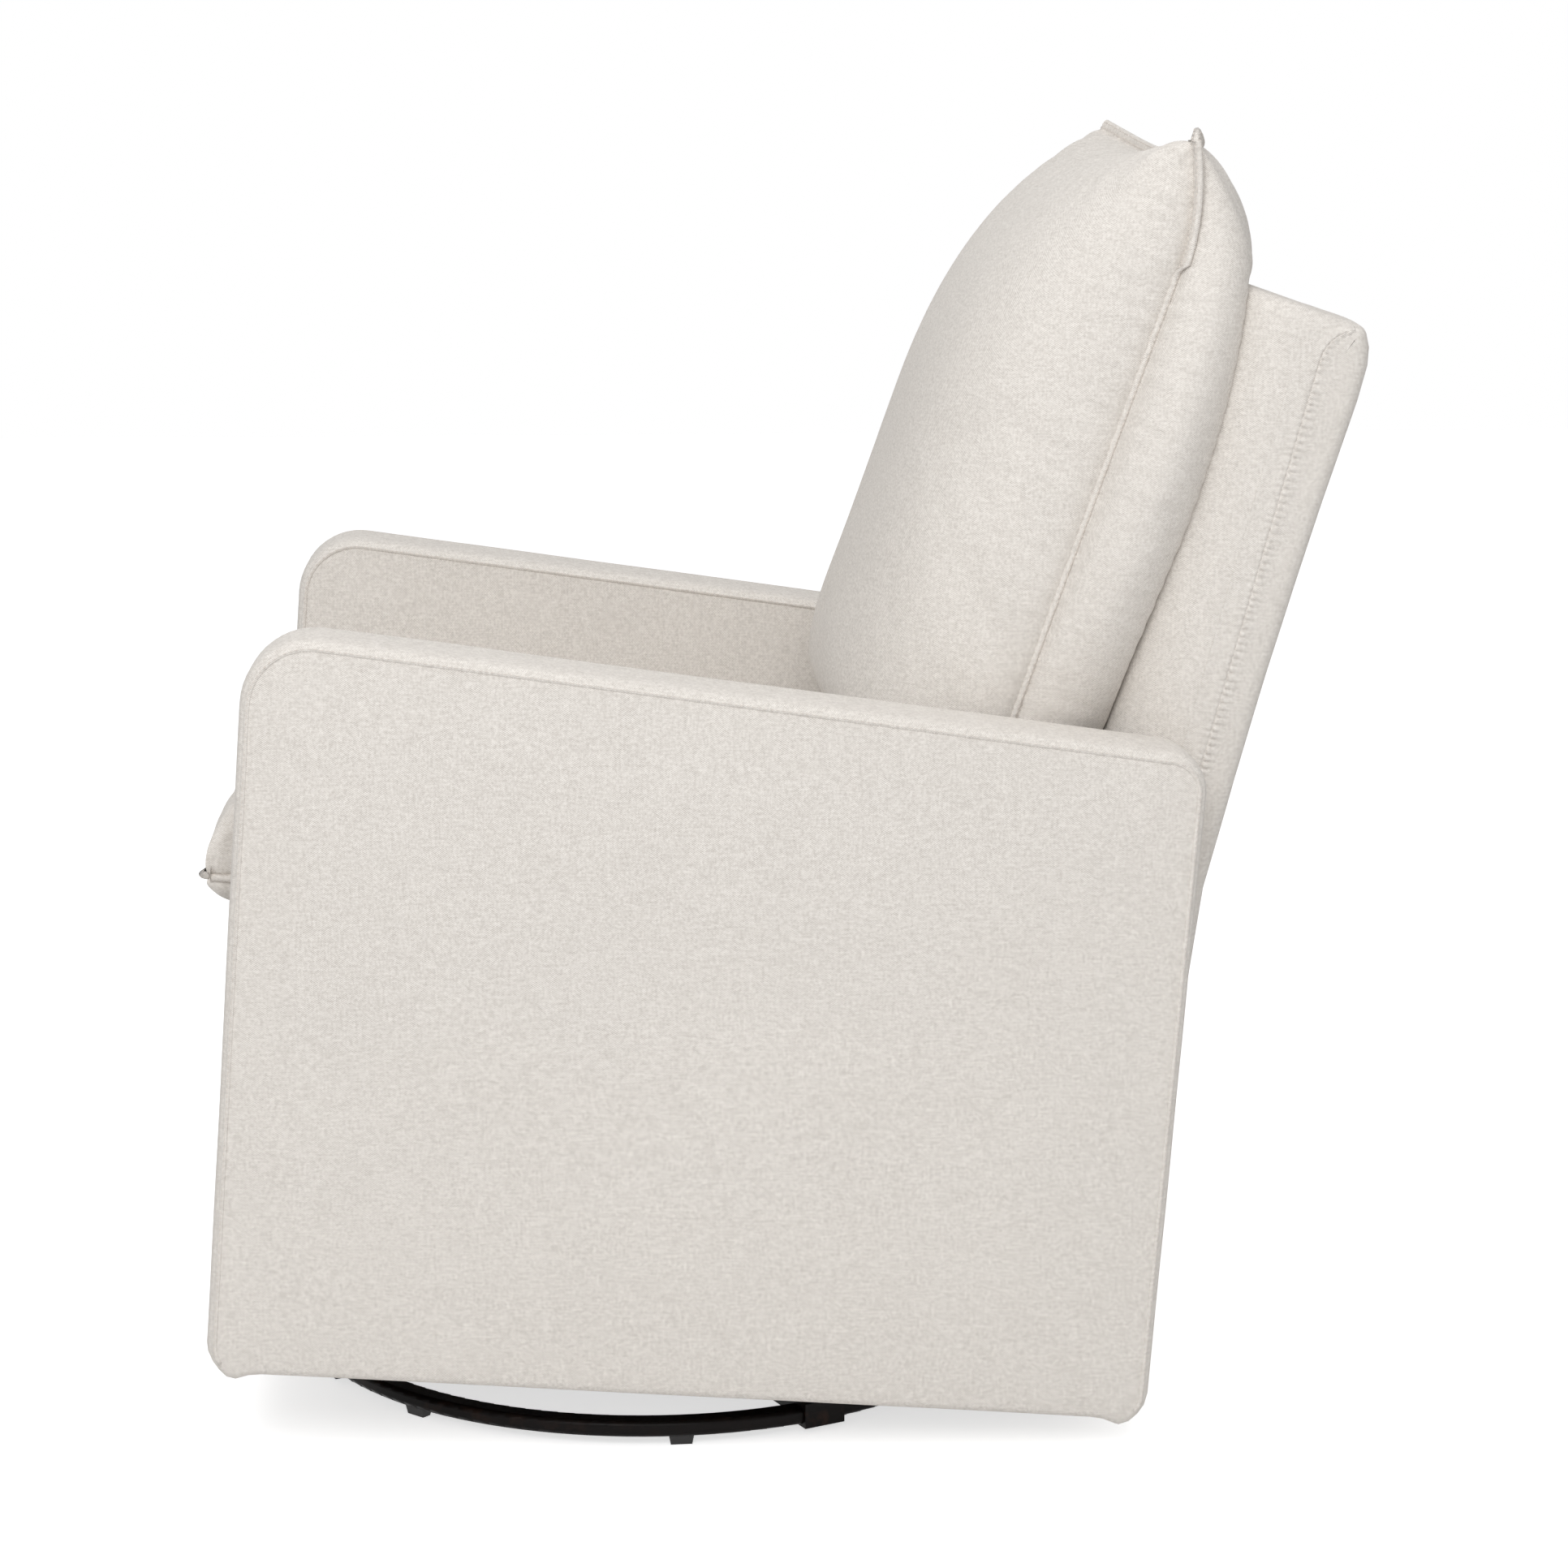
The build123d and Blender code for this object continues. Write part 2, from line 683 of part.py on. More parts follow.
corners = ((frame_front + wood, 1), (frame_rear - wood, -1))
with BuildPart() as corner_blocks:
    with BuildSketch(body_level(frame_top - block_set)):
        for side, sign in SIDES:
            for depth, inward in corners:
                x = sign * frame_inner
                Polygon(
                    (x, depth),
                    (x - sign * block_leg, depth),
                    (x, depth + inward * block_leg),
                    align=None,
                )
    extrude(amount=-block_height)
keep(corner_blocks, "corner_blocks")

# Sinuous springs: one bent wire each, held by a clip at each end
spring_plane = frame_top + spring_lift
spring_start = frame_front + wood / 2
spring_end = frame_rear - wood / 2
spring_turns = 2 * round((spring_end - spring_start) / spring_step / 2)
step = (spring_end - spring_start) / spring_turns
spring_xs = [(place - (spring_count - 1) / 2) * spring_pitch for place in range(spring_count)]


def spring_route(x):
    """Corners of one spring's wire, from its front crossbar to its rear one."""
    points = [(x - spring_loop / 2, spring_start)]
    for turn in range(spring_turns + 1):
        across = spring_loop / 2 if turn % 2 == 0 else -spring_loop / 2
        points.append((x + across, spring_start + turn * step))
        if turn < spring_turns:
            points.append((x + across, spring_start + (turn + 1) * step))
    return points


with BuildPart() as seat_springs:
    for x in spring_xs:
        with BuildLine(body_level(spring_plane)) as route:
            FilletPolyline(*spring_route(x), radius=min(spring_bend, spring_bend_limit * step))
        with BuildSketch(Plane(origin=route.line @ 0, z_dir=route.line % 0)):
            Circle(spring_wire)
        sweep()
keep(seat_springs, "seat_springs")

with BuildPart() as spring_clips:
    with BuildSketch(body_level(frame_top)):
        for x in spring_xs:
            with Locations((x, spring_start), (x, spring_end)):
                Rectangle(clip_width, clip_depth)
    extrude(amount=clip_height)
    wire_span = spring_xs[-1] - spring_xs[0] + 2 * clip_width
    with BuildSketch(body_upright(-wire_span / 2)):
        with Locations((spring_start, spring_plane), (spring_end, spring_plane)):
            Circle(spring_wire + fixing_gap)
    extrude(amount=wire_span, mode=Mode.SUBTRACT)
keep(spring_clips, "spring_clips")

# Padded deck over the springs, and the cloth under the frame
deck_front = frame_front + soft_gap
deck_rear = back_front_depth(deck_bottom) - soft_gap
with BuildPart() as seat_deck:
    with BuildSketch(body_level(deck_bottom)):
        with Locations((0, (deck_front + deck_rear) / 2)):
            Rectangle(2 * (inner_half - soft_gap), deck_rear - deck_front)
    extrude(amount=deck_thickness)
    fillet(seat_deck.faces().sort_by(Axis.Z)[-1].edges(), border_round)
keep(seat_deck, "seat_deck")

with BuildPart() as dust_cover:
    with BuildSketch(body_level(frame_bottom)):
        with Locations((0, (frame_front + wood + frame_rear) / 2)):
            Rectangle(2 * (rail_inner - dust_margin), frame_rear - frame_front - wood)
    extrude(amount=-dust_thickness)
keep(dust_cover, "dust_cover")

with BuildPart() as front_border:
    with BuildSketch(body_upright(soft_gap - inner_half)):
        with Locations((frame_front - border_thickness / 2, (panel_bottom + deck_top) / 2)):
            Rectangle(border_thickness, deck_top - panel_bottom)
    extrude(amount=2 * (inner_half - soft_gap))
    fillet(front_border.faces().sort_by(Axis.Y)[0].edges(), border_round)
keep(front_border, "front_border")

# Arms: a board inside a padded cover that is open below
arm_outer = inner_half + arm_thickness
board_inner = inner_half + (arm_thickness - arm_board) / 2
board_outer = board_inner + arm_board


def arm_corners(inset, foot):
    """Corners of an arm's outline, drawn in by an inset, from its rear foot round to its front foot."""
    front_top = arm_bottom + arm_front_height - inset
    rear_top = arm_bottom + arm_rear_height - inset
    return (
        (arm_rear - inset, foot),
        (arm_rear - inset, rear_top),
        (arm_front + inset, front_top),
        (arm_front + inset, foot),
    )


def arm_board_outline():
    """Outline of the board inside an arm; its foot is level with the cover's."""
    rounds = [0, arm_rear_round - arm_padding / 2, arm_front_round - arm_padding, 0]
    with BuildLine() as edge:
        FilletPolyline(*arm_corners(arm_padding, arm_bottom), radius=rounds, close=True)
    make_face(edge.edges())


for side, sign in SIDES:
    with BuildPart() as arm_cover:
        with BuildSketch(body_upright(between(sign, inner_half, arm_outer))):
            rounds = [arm_foot_round, arm_rear_round, arm_front_round, arm_foot_round]
            with BuildLine():
                FilletPolyline(*arm_corners(0, arm_bottom), radius=rounds, close=True)
            make_face()
        extrude(amount=arm_thickness)
        faces = arm_cover.faces().sort_by(Axis.X)
        fillet(faces[0].edges() + faces[-1].edges(), arm_edge_round)
        with BuildSketch(body_upright(between(sign, board_inner, board_outer))):
            arm_board_outline()
        extrude(amount=arm_board, mode=Mode.SUBTRACT)
        bolt_hole = arm_bolt_radius + fixing_gap
        holes_along_x(sign, body_upright, arm_bolt_places, inner_half, board_inner, bolt_hole)
    keep(arm_cover, "arm_cover_" + side)
    with BuildPart() as arm_panel:
        with BuildSketch(body_upright(between(sign, board_inner, board_outer))):
            arm_board_outline()
        extrude(amount=arm_board)
        holes_along_x(sign, body_upright, arm_bolt_places, board_inner, board_outer, bolt_hole)
    keep(arm_panel, "arm_board_" + side)

with BuildPart() as arm_bolts:
    for side, sign in SIDES:
        head_end = frame_inner - bolt_head_height
        pins_along_x(sign, body_upright, arm_bolt_places, head_end, frame_inner, arm_bolt_head)
        tip = board_inner + arm_bolt_bite
        pins_along_x(sign, body_upright, arm_bolt_places, frame_inner, tip, arm_bolt_radius)
keep(arm_bolts, "arm_bolts")

# Wooden back frame
post_inner = frame_inner - back_post_width
back_post_top = back_length - back_post_drop
post_front = shell_thickness + back_post_depth


def back_block(low, high, front, rear):
    """Corners of a rectangle on the back, given along it and as distances in front of its rear face."""
    return (
        back_point(low, -front),
        back_point(low, -rear),
        back_point(high, -rear),
        back_point(high, -front),
    )


post_outline = (
    (post_foot_rear - back_post_depth, post_foot),
    (post_foot_rear, post_foot),
    back_point(0, -shell_thickness),
    back_point(back_post_top, -shell_thickness),
    back_point(back_post_top, -post_front),
    back_point(0, -post_front),
)
for side, sign in SIDES:
    with BuildPart() as back_post:
        with BuildSketch(body_upright(between(sign, post_inner, frame_inner))):
            Polygon(*post_outline, align=None)
        extrude(amount=back_post_width)
        bolt_hole = arm_bolt_radius + fixing_gap
        holes_along_x(sign, body_upright, back_bolt_places, post_inner, frame_inner, bolt_hole)
    keep(back_post, "back_post_" + side)

rail_places = (
    ("back_top_rail", back_post_top - back_rail_height),
    ("back_low_rail", back_low_rail_at),
)
for name, low in rail_places:
    with BuildPart() as back_rail:
        with BuildSketch(body_upright(-post_inner)):
            Polygon(*back_block(low, low + back_rail_height, post_front, shell_thickness), align=None)
        extrude(amount=2 * post_inner)
    keep(back_rail, name)

with BuildPart() as back_bolts:
    for side, sign in SIDES:
        head_end = post_inner - bolt_head_height
        pins_along_x(sign, body_upright, back_bolt_places, head_end, post_inner, arm_bolt_head)
        pins_along_x(sign, body_upright, back_bolt_places, post_inner, inner_half, arm_bolt_radius)
keep(back_bolts, "back_bolts")

strap_lows = [strap_first + place * strap_pitch for place in range(strap_count)]
strap_front = post_front + strap_thickness
with BuildPart() as back_webbing:
    with BuildSketch(body_upright(-frame_inner)):
        for low in strap_lows:
            Polygon(*back_block(low, low + strap_width, strap_front, post_front), align=None)
    extrude(amount=2 * frame_inner)
keep(back_webbing, "back_webbing")

# Padded inside back, with pockets for the wooden frame and the straps
cover_half = inner_half - soft_gap
cover_bottom = clip_top + soft_gap
cover_rear = shell_thickness + soft_gap
cover_outline = (
    (back_front_depth(cover_bottom), cover_bottom),
    (shell_front_depth(cover_bottom) - soft_gap, cover_bottom),
    back_point(0, -cover_rear),
    back_point(back_length, -cover_rear),
    back_point(back_length + back_top_rise, -back_thickness),
)
with BuildPart() as back_cover:
    with BuildSketch(body_upright(-cover_half)):
        Polygon(*cover_outline, align=None)
    extrude(amount=2 * cover_half)
    front_face = back_cover.faces().sort_by(Axis.Y)[0]
    fillet(front_face.edges().group_by(Axis.Z)[-1], back_edge_round)
    for side, sign in SIDES:
        with BuildSketch(body_upright(between(sign, post_inner - soft_gap, frame_inner + soft_gap))):
            Polygon(*post_outline, align=None)
            offset(amount=soft_gap)
        extrude(amount=back_post_width + 2 * soft_gap, mode=Mode.SUBTRACT)
    with BuildSketch(body_upright(-post_inner)):
        for name, low in rail_places:
            Polygon(*back_block(low, low + back_rail_height, post_front, shell_thickness), align=None)
        offset(amount=soft_gap)
    extrude(amount=2 * post_inner, mode=Mode.SUBTRACT)
    with BuildSketch(body_upright(-frame_inner - soft_gap)):
        for low in strap_lows:
            Polygon(*back_block(low, low + strap_width, strap_front, post_front), align=None)
        offset(amount=soft_gap)
    extrude(amount=2 * (frame_inner + soft_gap), mode=Mode.SUBTRACT)
keep(back_cover, "back_cover")

# Rear panel, from the top of the back down between the arms
shell_outline = (
    (shell_foot_depth - shell_thickness, panel_bottom),
    (shell_foot_depth, panel_bottom),
    back_point(0, 0),
    back_point(back_length, 0),
    back_point(back_length, -shell_thickness),
    back_point(0, -shell_thickness),
)
with BuildPart() as outside_back:
    with BuildSketch(body_upright(-cover_half)):
        Polygon(*shell_outline, align=None)
    extrude(amount=2 * cover_half)
    rear_face = outside_back.faces().sort_by(Axis.Y)[-1]
    fillet(rear_face.edges().group_by(Axis.Z)[-1], back_edge_round)
keep(outside_back, "outside_back")

# Seat cushion: a knife-edged flange round a crowned top and a flat base
cushion_half_length = (cushion_rear - cushion_front) / 2
cushion_half_width = inner_half - cushion_side_gap
cushion_middle = (cushion_rear + cushion_front) / 2
cushion_plane = body_level(cushion_seam, cushion_middle)
seam_half_length = cushion_half_length - flange_width
seam_half_width = cushion_half_width - flange_width
foam_half_width = seam_half_width - foam_margin
foam_half_length = seam_half_length - foam_margin
with BuildPart() as seat_cushion:
    crown(cushion_plane, seam_half_width, seam_half_length, cushion_upper, cushion_draw)
    for share, scale in base_levels:
        with BuildSketch(cushion_plane.offset(-share * cushion_lower)):
            corner = ear_round + share * foam_corner
            bow = -cushion_draw * (1 - base_ease * share)
            bowed_outline(seam_half_width * scale, seam_half_length * scale, bow, corner)
    loft()
    with BuildSketch(cushion_plane.offset(-flange_thickness / 2)):
        bowed_outline(cushion_half_width, cushion_half_length, -cushion_draw, ear_round)
    extrude(amount=flange_thickness)
    with BuildSketch(body_level(cushion_bottom + foam_skin, cushion_middle)):
        RectangleRounded(2 * foam_half_width, 2 * foam_half_length, foam_corner)
    extrude(amount=foam_height, mode=Mode.SUBTRACT)
keep(seat_cushion, "seat_cushion")

with BuildPart() as seat_foam:
    with BuildSketch(body_level(cushion_bottom + foam_skin, cushion_middle)):
        RectangleRounded(2 * foam_half_width, 2 * foam_half_length, foam_corner)
    extrude(amount=foam_height)
keep(seat_foam, "seat_foam")

# Back pillow: flat where it leans on the back and sits on the cushion, round elsewhere
pillow_reach = back_thickness + pillow_sink
pillow_rise = cushion_top + pillow_lift + pillow_height / 2 * cos(radians(pillow_lean))
pillow_along = (pillow_rise - knee_height - pillow_reach * sin(lean)) / cos(lean)
pillow_plane = leaning(*back_point(pillow_along, -pillow_reach), pillow_lean)
pillow_half_width = pillow_width / 2 - flange_width
pillow_half_height = pillow_height / 2 - flange_width
fill_half_width = fill_share * pillow_half_width
fill_half_height = fill_share * pillow_half_height
with BuildPart() as pillow_fill:
    crown(pillow_plane, fill_half_width, fill_half_height, fill_share * pillow_front, pillow_draw)
keep(pillow_fill, "pillow_fill")

with BuildPart() as back_pillow:
    crown(pillow_plane, pillow_half_width, pillow_half_height, pillow_front, pillow_draw)
    behind = Plane(origin=pillow_plane.origin, x_dir=(-1, 0, 0), z_dir=-pillow_plane.z_dir)
    crown(behind, pillow_half_width, pillow_half_height, pillow_rear, pillow_draw)
    with BuildSketch(pillow_plane.offset(-flange_thickness / 2)):
        bowed_outline(pillow_width / 2, pillow_height / 2, -pillow_draw, ear_round)
    extrude(amount=flange_thickness)
    split(bisect_by=leaning(*back_point(0, -back_thickness - soft_gap), back_lean), keep=Keep.TOP)
    split(bisect_by=body_level(cushion_top + soft_gap), keep=Keep.TOP)
    add(pillow_fill.part, mode=Mode.SUBTRACT)
keep(back_pillow, "back_pillow")
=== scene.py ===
# %% [markdown]
# A swivel glider chair, dressed in Blender.
# The steel base, the gliding links and the wooden frame come from the packed CAD model and stay as they are.
# The upholstery is modelled here around that frame, because cloth is never as plain as a solid.

# %% Load the packed chair
import json
from math import cos, exp, hypot, pi, radians, sin, sqrt

import bmesh
import bpy
import numpy as np
from mathutils import Matrix, Vector, noise


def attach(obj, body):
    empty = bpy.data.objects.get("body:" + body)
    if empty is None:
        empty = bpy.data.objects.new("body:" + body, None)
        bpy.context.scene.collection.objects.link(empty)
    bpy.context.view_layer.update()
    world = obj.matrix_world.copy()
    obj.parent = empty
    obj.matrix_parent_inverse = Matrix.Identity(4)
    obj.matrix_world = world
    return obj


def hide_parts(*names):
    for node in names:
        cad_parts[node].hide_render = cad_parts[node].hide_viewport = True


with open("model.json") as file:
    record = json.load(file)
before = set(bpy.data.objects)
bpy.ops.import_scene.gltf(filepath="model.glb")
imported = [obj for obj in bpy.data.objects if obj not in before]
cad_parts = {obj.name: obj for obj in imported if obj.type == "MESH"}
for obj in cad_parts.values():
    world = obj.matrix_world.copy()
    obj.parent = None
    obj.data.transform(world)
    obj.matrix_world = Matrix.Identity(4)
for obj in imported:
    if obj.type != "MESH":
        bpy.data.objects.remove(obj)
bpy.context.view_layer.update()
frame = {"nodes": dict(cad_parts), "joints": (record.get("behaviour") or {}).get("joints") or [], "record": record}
nodes = frame["nodes"]
scene = bpy.context.scene
scene.view_settings.view_transform = "Standard"

# %% [markdown]
# The camera comes first, so that every later choice can be judged from the photograph's own place.
# Its position, pitch and focal length were worked out from the floor ring and the arms, with no shift.

# %% Camera
CAMERA_AT = Vector((3.049, -0.1536, 1.071))
CAMERA_PITCH = radians(11.0)
CAMERA_YAW = radians(3.23)
FOCAL_PIXELS = 4493
IMAGE_PIXELS = 1932
SENSOR_WIDTH = 36.0


def primitive(add, **options):
    """Add one of Blender's own objects and return it."""
    bpy.ops.object.select_all(action="DESELECT")
    add(**options)
    return bpy.context.object


look = Vector((
    -cos(CAMERA_YAW) * cos(CAMERA_PITCH),
    sin(CAMERA_YAW) * cos(CAMERA_PITCH),
    -sin(CAMERA_PITCH),
))
turned = look.to_track_quat("-Z", "Y").to_euler()
camera = primitive(bpy.ops.object.camera_add, location=CAMERA_AT, rotation=turned)
camera.data.sensor_width = SENSOR_WIDTH
camera.data.lens = SENSOR_WIDTH * FOCAL_PIXELS / IMAGE_PIXELS
scene.camera = camera
print("Lens in mm:", round(camera.data.lens, 1))

# %% [markdown]
# Every surface is a small network of shader nodes. One helper places nodes and joins them, and another
# starts a material, so the cells below can say in a few lines what a surface is made of.

# %% Shader helpers


class Wiring:
    """Small helper that places and joins shader nodes."""

    def __init__(self, tree):
        self.tree = tree

    def join(self, source, target):
        self.tree.links.new(source, target)

    def add(self, kind, inputs=(), **settings):
        node = self.tree.nodes.new("ShaderNode" + kind)
        for key, value in settings.items():
            setattr(node, key, value)
        for key, value in dict(inputs).items():
            if isinstance(value, bpy.types.NodeSocket):
                self.join(value, node.inputs[key])
            else:
                node.inputs[key].default_value = value
        return node

    def math(self, operation, first, second=0.0):
        return self.add("Math", {0: first, 1: second}, operation=operation).outputs[0]

    def span(self, value, low, high, to_low=0.0, to_high=1.0):
        limits = {"Value": value, "From Min": low, "From Max": high, "To Min": to_low, "To Max": to_high}
        return self.add("MapRange", limits).outputs["Result"]

    def blend(self, factor, first, second):
        mix = self.add("Mix", {"Factor": factor}, data_type="RGBA")
        for place, colour in ((6, first), (7, second)):
            if isinstance(colour, bpy.types.NodeSocket):
                self.join(colour, mix.inputs[place])
            else:
                mix.inputs[place].default_value = colour
        return mix.outputs[2]

    def stretched_noise(self, coords, scale, stretch, detail=2.0):
        mapping = self.add("Mapping", {"Vector": coords, "Scale": stretch})
        return self.add(
            "TexNoise", {"Vector": mapping.outputs[0], "Scale": scale, "Detail": detail}
        ).outputs["Fac"]


def finish(name, **shader_values):
    """New material; returns it with its wiring and its shader."""
    material = bpy.data.materials.new(name)
    material.use_nodes = True
    shader = material.node_tree.nodes["Principled BSDF"]
    for key, value in shader_values.items():
        shader.inputs[key.replace("_", " ")].default_value = value
    return material, Wiring(material.node_tree), shader


print("Wiring can:", [name for name in vars(Wiring) if not name.startswith("_")])

# %% [markdown]
# A studio is a pale floor, a bright surround and two large soft lamps.
# The surround looks white to the camera and to reflections, while it lights the chair at a plain level.
# The floor is plain and pale, and the lamps are large, so the shadow under the chair stays soft.

# %% Studio
AMBIENT = 0.49
KEY_POWER = 68.0
TOP_POWER = 13.0
FLOOR_LIFT = 0.66
FLOOR_GREY = 0.86
FLOOR_SIZE = 16


def rays_that_see_white(w):
    """Mask that is 1 for camera, glossy and transmission rays."""
    path = w.add("LightPath").outputs
    seen = w.math("MAXIMUM", path["Is Camera Ray"], path["Is Glossy Ray"])
    return w.math("MAXIMUM", seen, path["Is Transmission Ray"])


surround = bpy.data.worlds.new("studio_surround")
surround.use_nodes = True
scene.world = surround
w = Wiring(surround.node_tree)
background = w.tree.nodes["Background"]
background.inputs["Color"].default_value = (1, 1, 1, 1)
strength = w.span(rays_that_see_white(w), 0.0, 1.0, AMBIENT, 1.0)
w.join(strength, background.inputs["Strength"])

floor = primitive(bpy.ops.mesh.primitive_plane_add, size=FLOOR_SIZE)
floor.name = "studio_floor"
pale_floor, w, shader = finish(
    "pale_floor",
    Base_Color=(FLOOR_GREY, FLOOR_GREY, FLOOR_GREY, 1),
    Roughness=0.9,
    Specular_IOR_Level=0.1,
    Emission_Color=(1, 1, 1, 1),
)
glow = w.math("MULTIPLY", rays_that_see_white(w), FLOOR_LIFT)
w.join(glow, shader.inputs["Emission Strength"])
floor.data.materials.append(pale_floor)


def soft_lamp(name, place, target, size, power):
    """Square area lamp that points at a target."""
    aim = (Vector(target) - Vector(place)).to_track_quat("-Z", "Y").to_euler()
    lamp = primitive(bpy.ops.object.light_add, type="AREA", location=place, rotation=aim)
    lamp.name = name
    lamp.data.size = size
    lamp.data.energy = power


soft_lamp("key_lamp", (2.7, -0.4, 2.7), (0, 0, 0.5), 2.4, KEY_POWER)
soft_lamp("top_lamp", (0.2, -0.5, 3.0), (0, 0, 0.4), 2.2, TOP_POWER)

# %% [markdown]
# Cloth, paint and steel all share a few surface effects, so each effect is a node group with named sockets.
# The cloth is a plain weave: yarns that pass over and under each other make a fine checker of light and dark.
# One checker is laid over each pair of axes, and the way a face points chooses between the three.

# %% Shared surface effects


def effect(name, inputs, outputs):
    """Empty shader node group with named sockets; returns its wiring, input and output nodes."""
    group = bpy.data.node_groups.new(name, "ShaderNodeTree")
    for label, kind, value in inputs:
        socket = group.interface.new_socket(label, in_out="INPUT", socket_type="NodeSocket" + kind)
        socket.default_value = value
    for label, kind in outputs:
        group.interface.new_socket(label, in_out="OUTPUT", socket_type="NodeSocket" + kind)
    wiring = Wiring(group)
    return wiring, wiring.tree.nodes.new("NodeGroupInput"), wiring.tree.nodes.new("NodeGroupOutput")


EVEN = (1, 1, 1)
WEFT_SHARE = 1.54
YARN_WANDER = 5.0
WANDER_SCALE = 70.0
FACING_POWER = 3.0
CHECK_SHARE = 0.34
PATCH_SCALE = 150.0
PATCH_LEVELS = (0.45, 1.25)
NOISE_RANGE = (0.3, 0.7)
# Scale, stretch, detail, half of the noise's range and share of the shade
UNEVENNESS = {
    "fibre grain": (430.0, EVEN, 1.0, 0.20, 0.15),
    "level slubs": (620.0, (0.16, 0.16, 1.4), 2.0, 0.18, 0.09),
    "upright slubs": (620.0, (1.1, 1.1, 0.16), 2.0, 0.18, 0.06),
    "faint clouds": (16.0, EVEN, 2.0, 0.20, 0.012),
}
HAZE_SCALE = 22.0
SKIN_RANGE = (0.35, 0.65)
SHARP_EDGE = (0.505, 0.56)
WORN_PATCH = (0.52, 0.66)

w, given, made = effect(
    "plain_weave",
    [("Light", "Color", (1, 1, 1, 1)), ("Dark", "Color", (0, 0, 0, 1)), ("Yarns per metre", "Float", 430.0)],
    [("Color", "Color"), ("Height", "Float")],
)
coordinates = w.add("TexCoord")
where = coordinates.outputs["Object"]
axes = w.add("SeparateXYZ", {0: where})
facing = w.add("SeparateXYZ", {0: coordinates.outputs["Normal"]})
turns = w.math("MULTIPLY", given.outputs["Yarns per metre"], 2 * pi)
drift = w.math("MULTIPLY", w.stretched_noise(where, WANDER_SCALE, EVEN, 1.0), YARN_WANDER)


def yarn_wave(axis, share):
    """Wave of the yarns that lie side by side along one axis."""
    phase = w.math("MULTIPLY", axes.outputs[axis], w.math("MULTIPLY", turns, share))
    return w.math("SINE", w.math("ADD", phase, drift))


checks, total = 0.0, 0.0
for face, warp, weft in ((0, 1, 2), (1, 0, 2), (2, 0, 1)):
    square = w.math("MULTIPLY", facing.outputs[face], facing.outputs[face])
    weight = w.math("POWER", square, FACING_POWER)
    checker = w.math("MULTIPLY", yarn_wave(warp, 1.0), yarn_wave(weft, WEFT_SHARE))
    checks = w.math("ADD", w.math("MULTIPLY", checker, weight), checks)
    total = w.math("ADD", weight, total)
checks = w.math("DIVIDE", checks, total)
patch = w.span(w.stretched_noise(where, PATCH_SCALE, EVEN, 1.0), *NOISE_RANGE, *PATCH_LEVELS)
checks = w.math("MULTIPLY", checks, patch)
shade = w.math("ADD", w.math("MULTIPLY", checks, CHECK_SHARE), 0.5)
for scale, stretch, detail, reach, share in UNEVENNESS.values():
    cloud = w.stretched_noise(where, scale, stretch, detail)
    part = w.span(cloud, 0.5 - reach, 0.5 + reach, -1.0, 1.0)
    shade = w.math("ADD", shade, w.math("MULTIPLY", part, share))
colour = w.blend(w.span(shade, 0.0, 1.0), given.outputs["Dark"], given.outputs["Light"])
w.join(colour, made.inputs["Color"])
w.join(shade, made.inputs["Height"])
plain_weave = w.tree

w, given, made = effect(
    "skin_mottle",
    [("Grains per metre", "Float", 400.0), ("Low", "Float", 0.3), ("High", "Float", 0.5)],
    [("Value", "Float"), ("Height", "Float")],
)
where = w.add("TexCoord").outputs["Object"]
grains = given.outputs["Grains per metre"]
grain = w.add("TexNoise", {"Vector": where, "Scale": grains, "Detail": 3.0}).outputs["Fac"]
haze = w.add("TexNoise", {"Vector": where, "Scale": HAZE_SCALE, "Detail": 4.0}).outputs["Fac"]
both = w.math("ADD", w.math("MULTIPLY", grain, 0.5), w.math("MULTIPLY", haze, 0.5))
spread = w.span(both, *SKIN_RANGE, given.outputs["Low"], given.outputs["High"])
w.join(spread, made.inputs["Value"])
w.join(grain, made.inputs["Height"])
skin_mottle = w.tree

w, given, made = effect(
    "edge_scuff", [("Amount", "Float", 0.5), ("Patches per metre", "Float", 60.0)], [("Mask", "Float")]
)
where = w.add("TexCoord").outputs["Object"]
patches = w.add("TexNoise", {"Vector": where, "Scale": given.outputs["Patches per metre"], "Detail": 5.0})
ridge = w.span(w.add("NewGeometry").outputs["Pointiness"], *SHARP_EDGE)
worn = w.span(patches.outputs["Fac"], *WORN_PATCH)
mask = w.math("MULTIPLY", w.math("MULTIPLY", ridge, worn), given.outputs["Amount"])
w.join(mask, made.inputs["Mask"])
edge_scuff = w.tree
print("Effects:", [g.name for g in bpy.data.node_groups])

# %% [markdown]
# Every finish is a material of its own: two upholstery cloths, the black cloth under the seat, sewing thread,
# webbing, near-black paint, powder coat, zinc, wire, rubber, plastic and planed timber.
# Values that are the same all over sit on the shader, and only what varies comes from the groups.

# %% Finishes


def bump(wiring, shader, height, strength, distance):
    """Let a height tilt the shading normal."""
    node = wiring.add("Bump", {"Height": height, "Strength": strength, "Distance": distance})
    wiring.join(node.outputs[0], shader.inputs["Normal"])


def use(wiring, group, **values):
    """Place a shared effect with its own values."""
    node = wiring.add("Group", node_tree=group)
    for key, value in values.items():
        node.inputs[key.replace("_", " ")].default_value = value
    return node


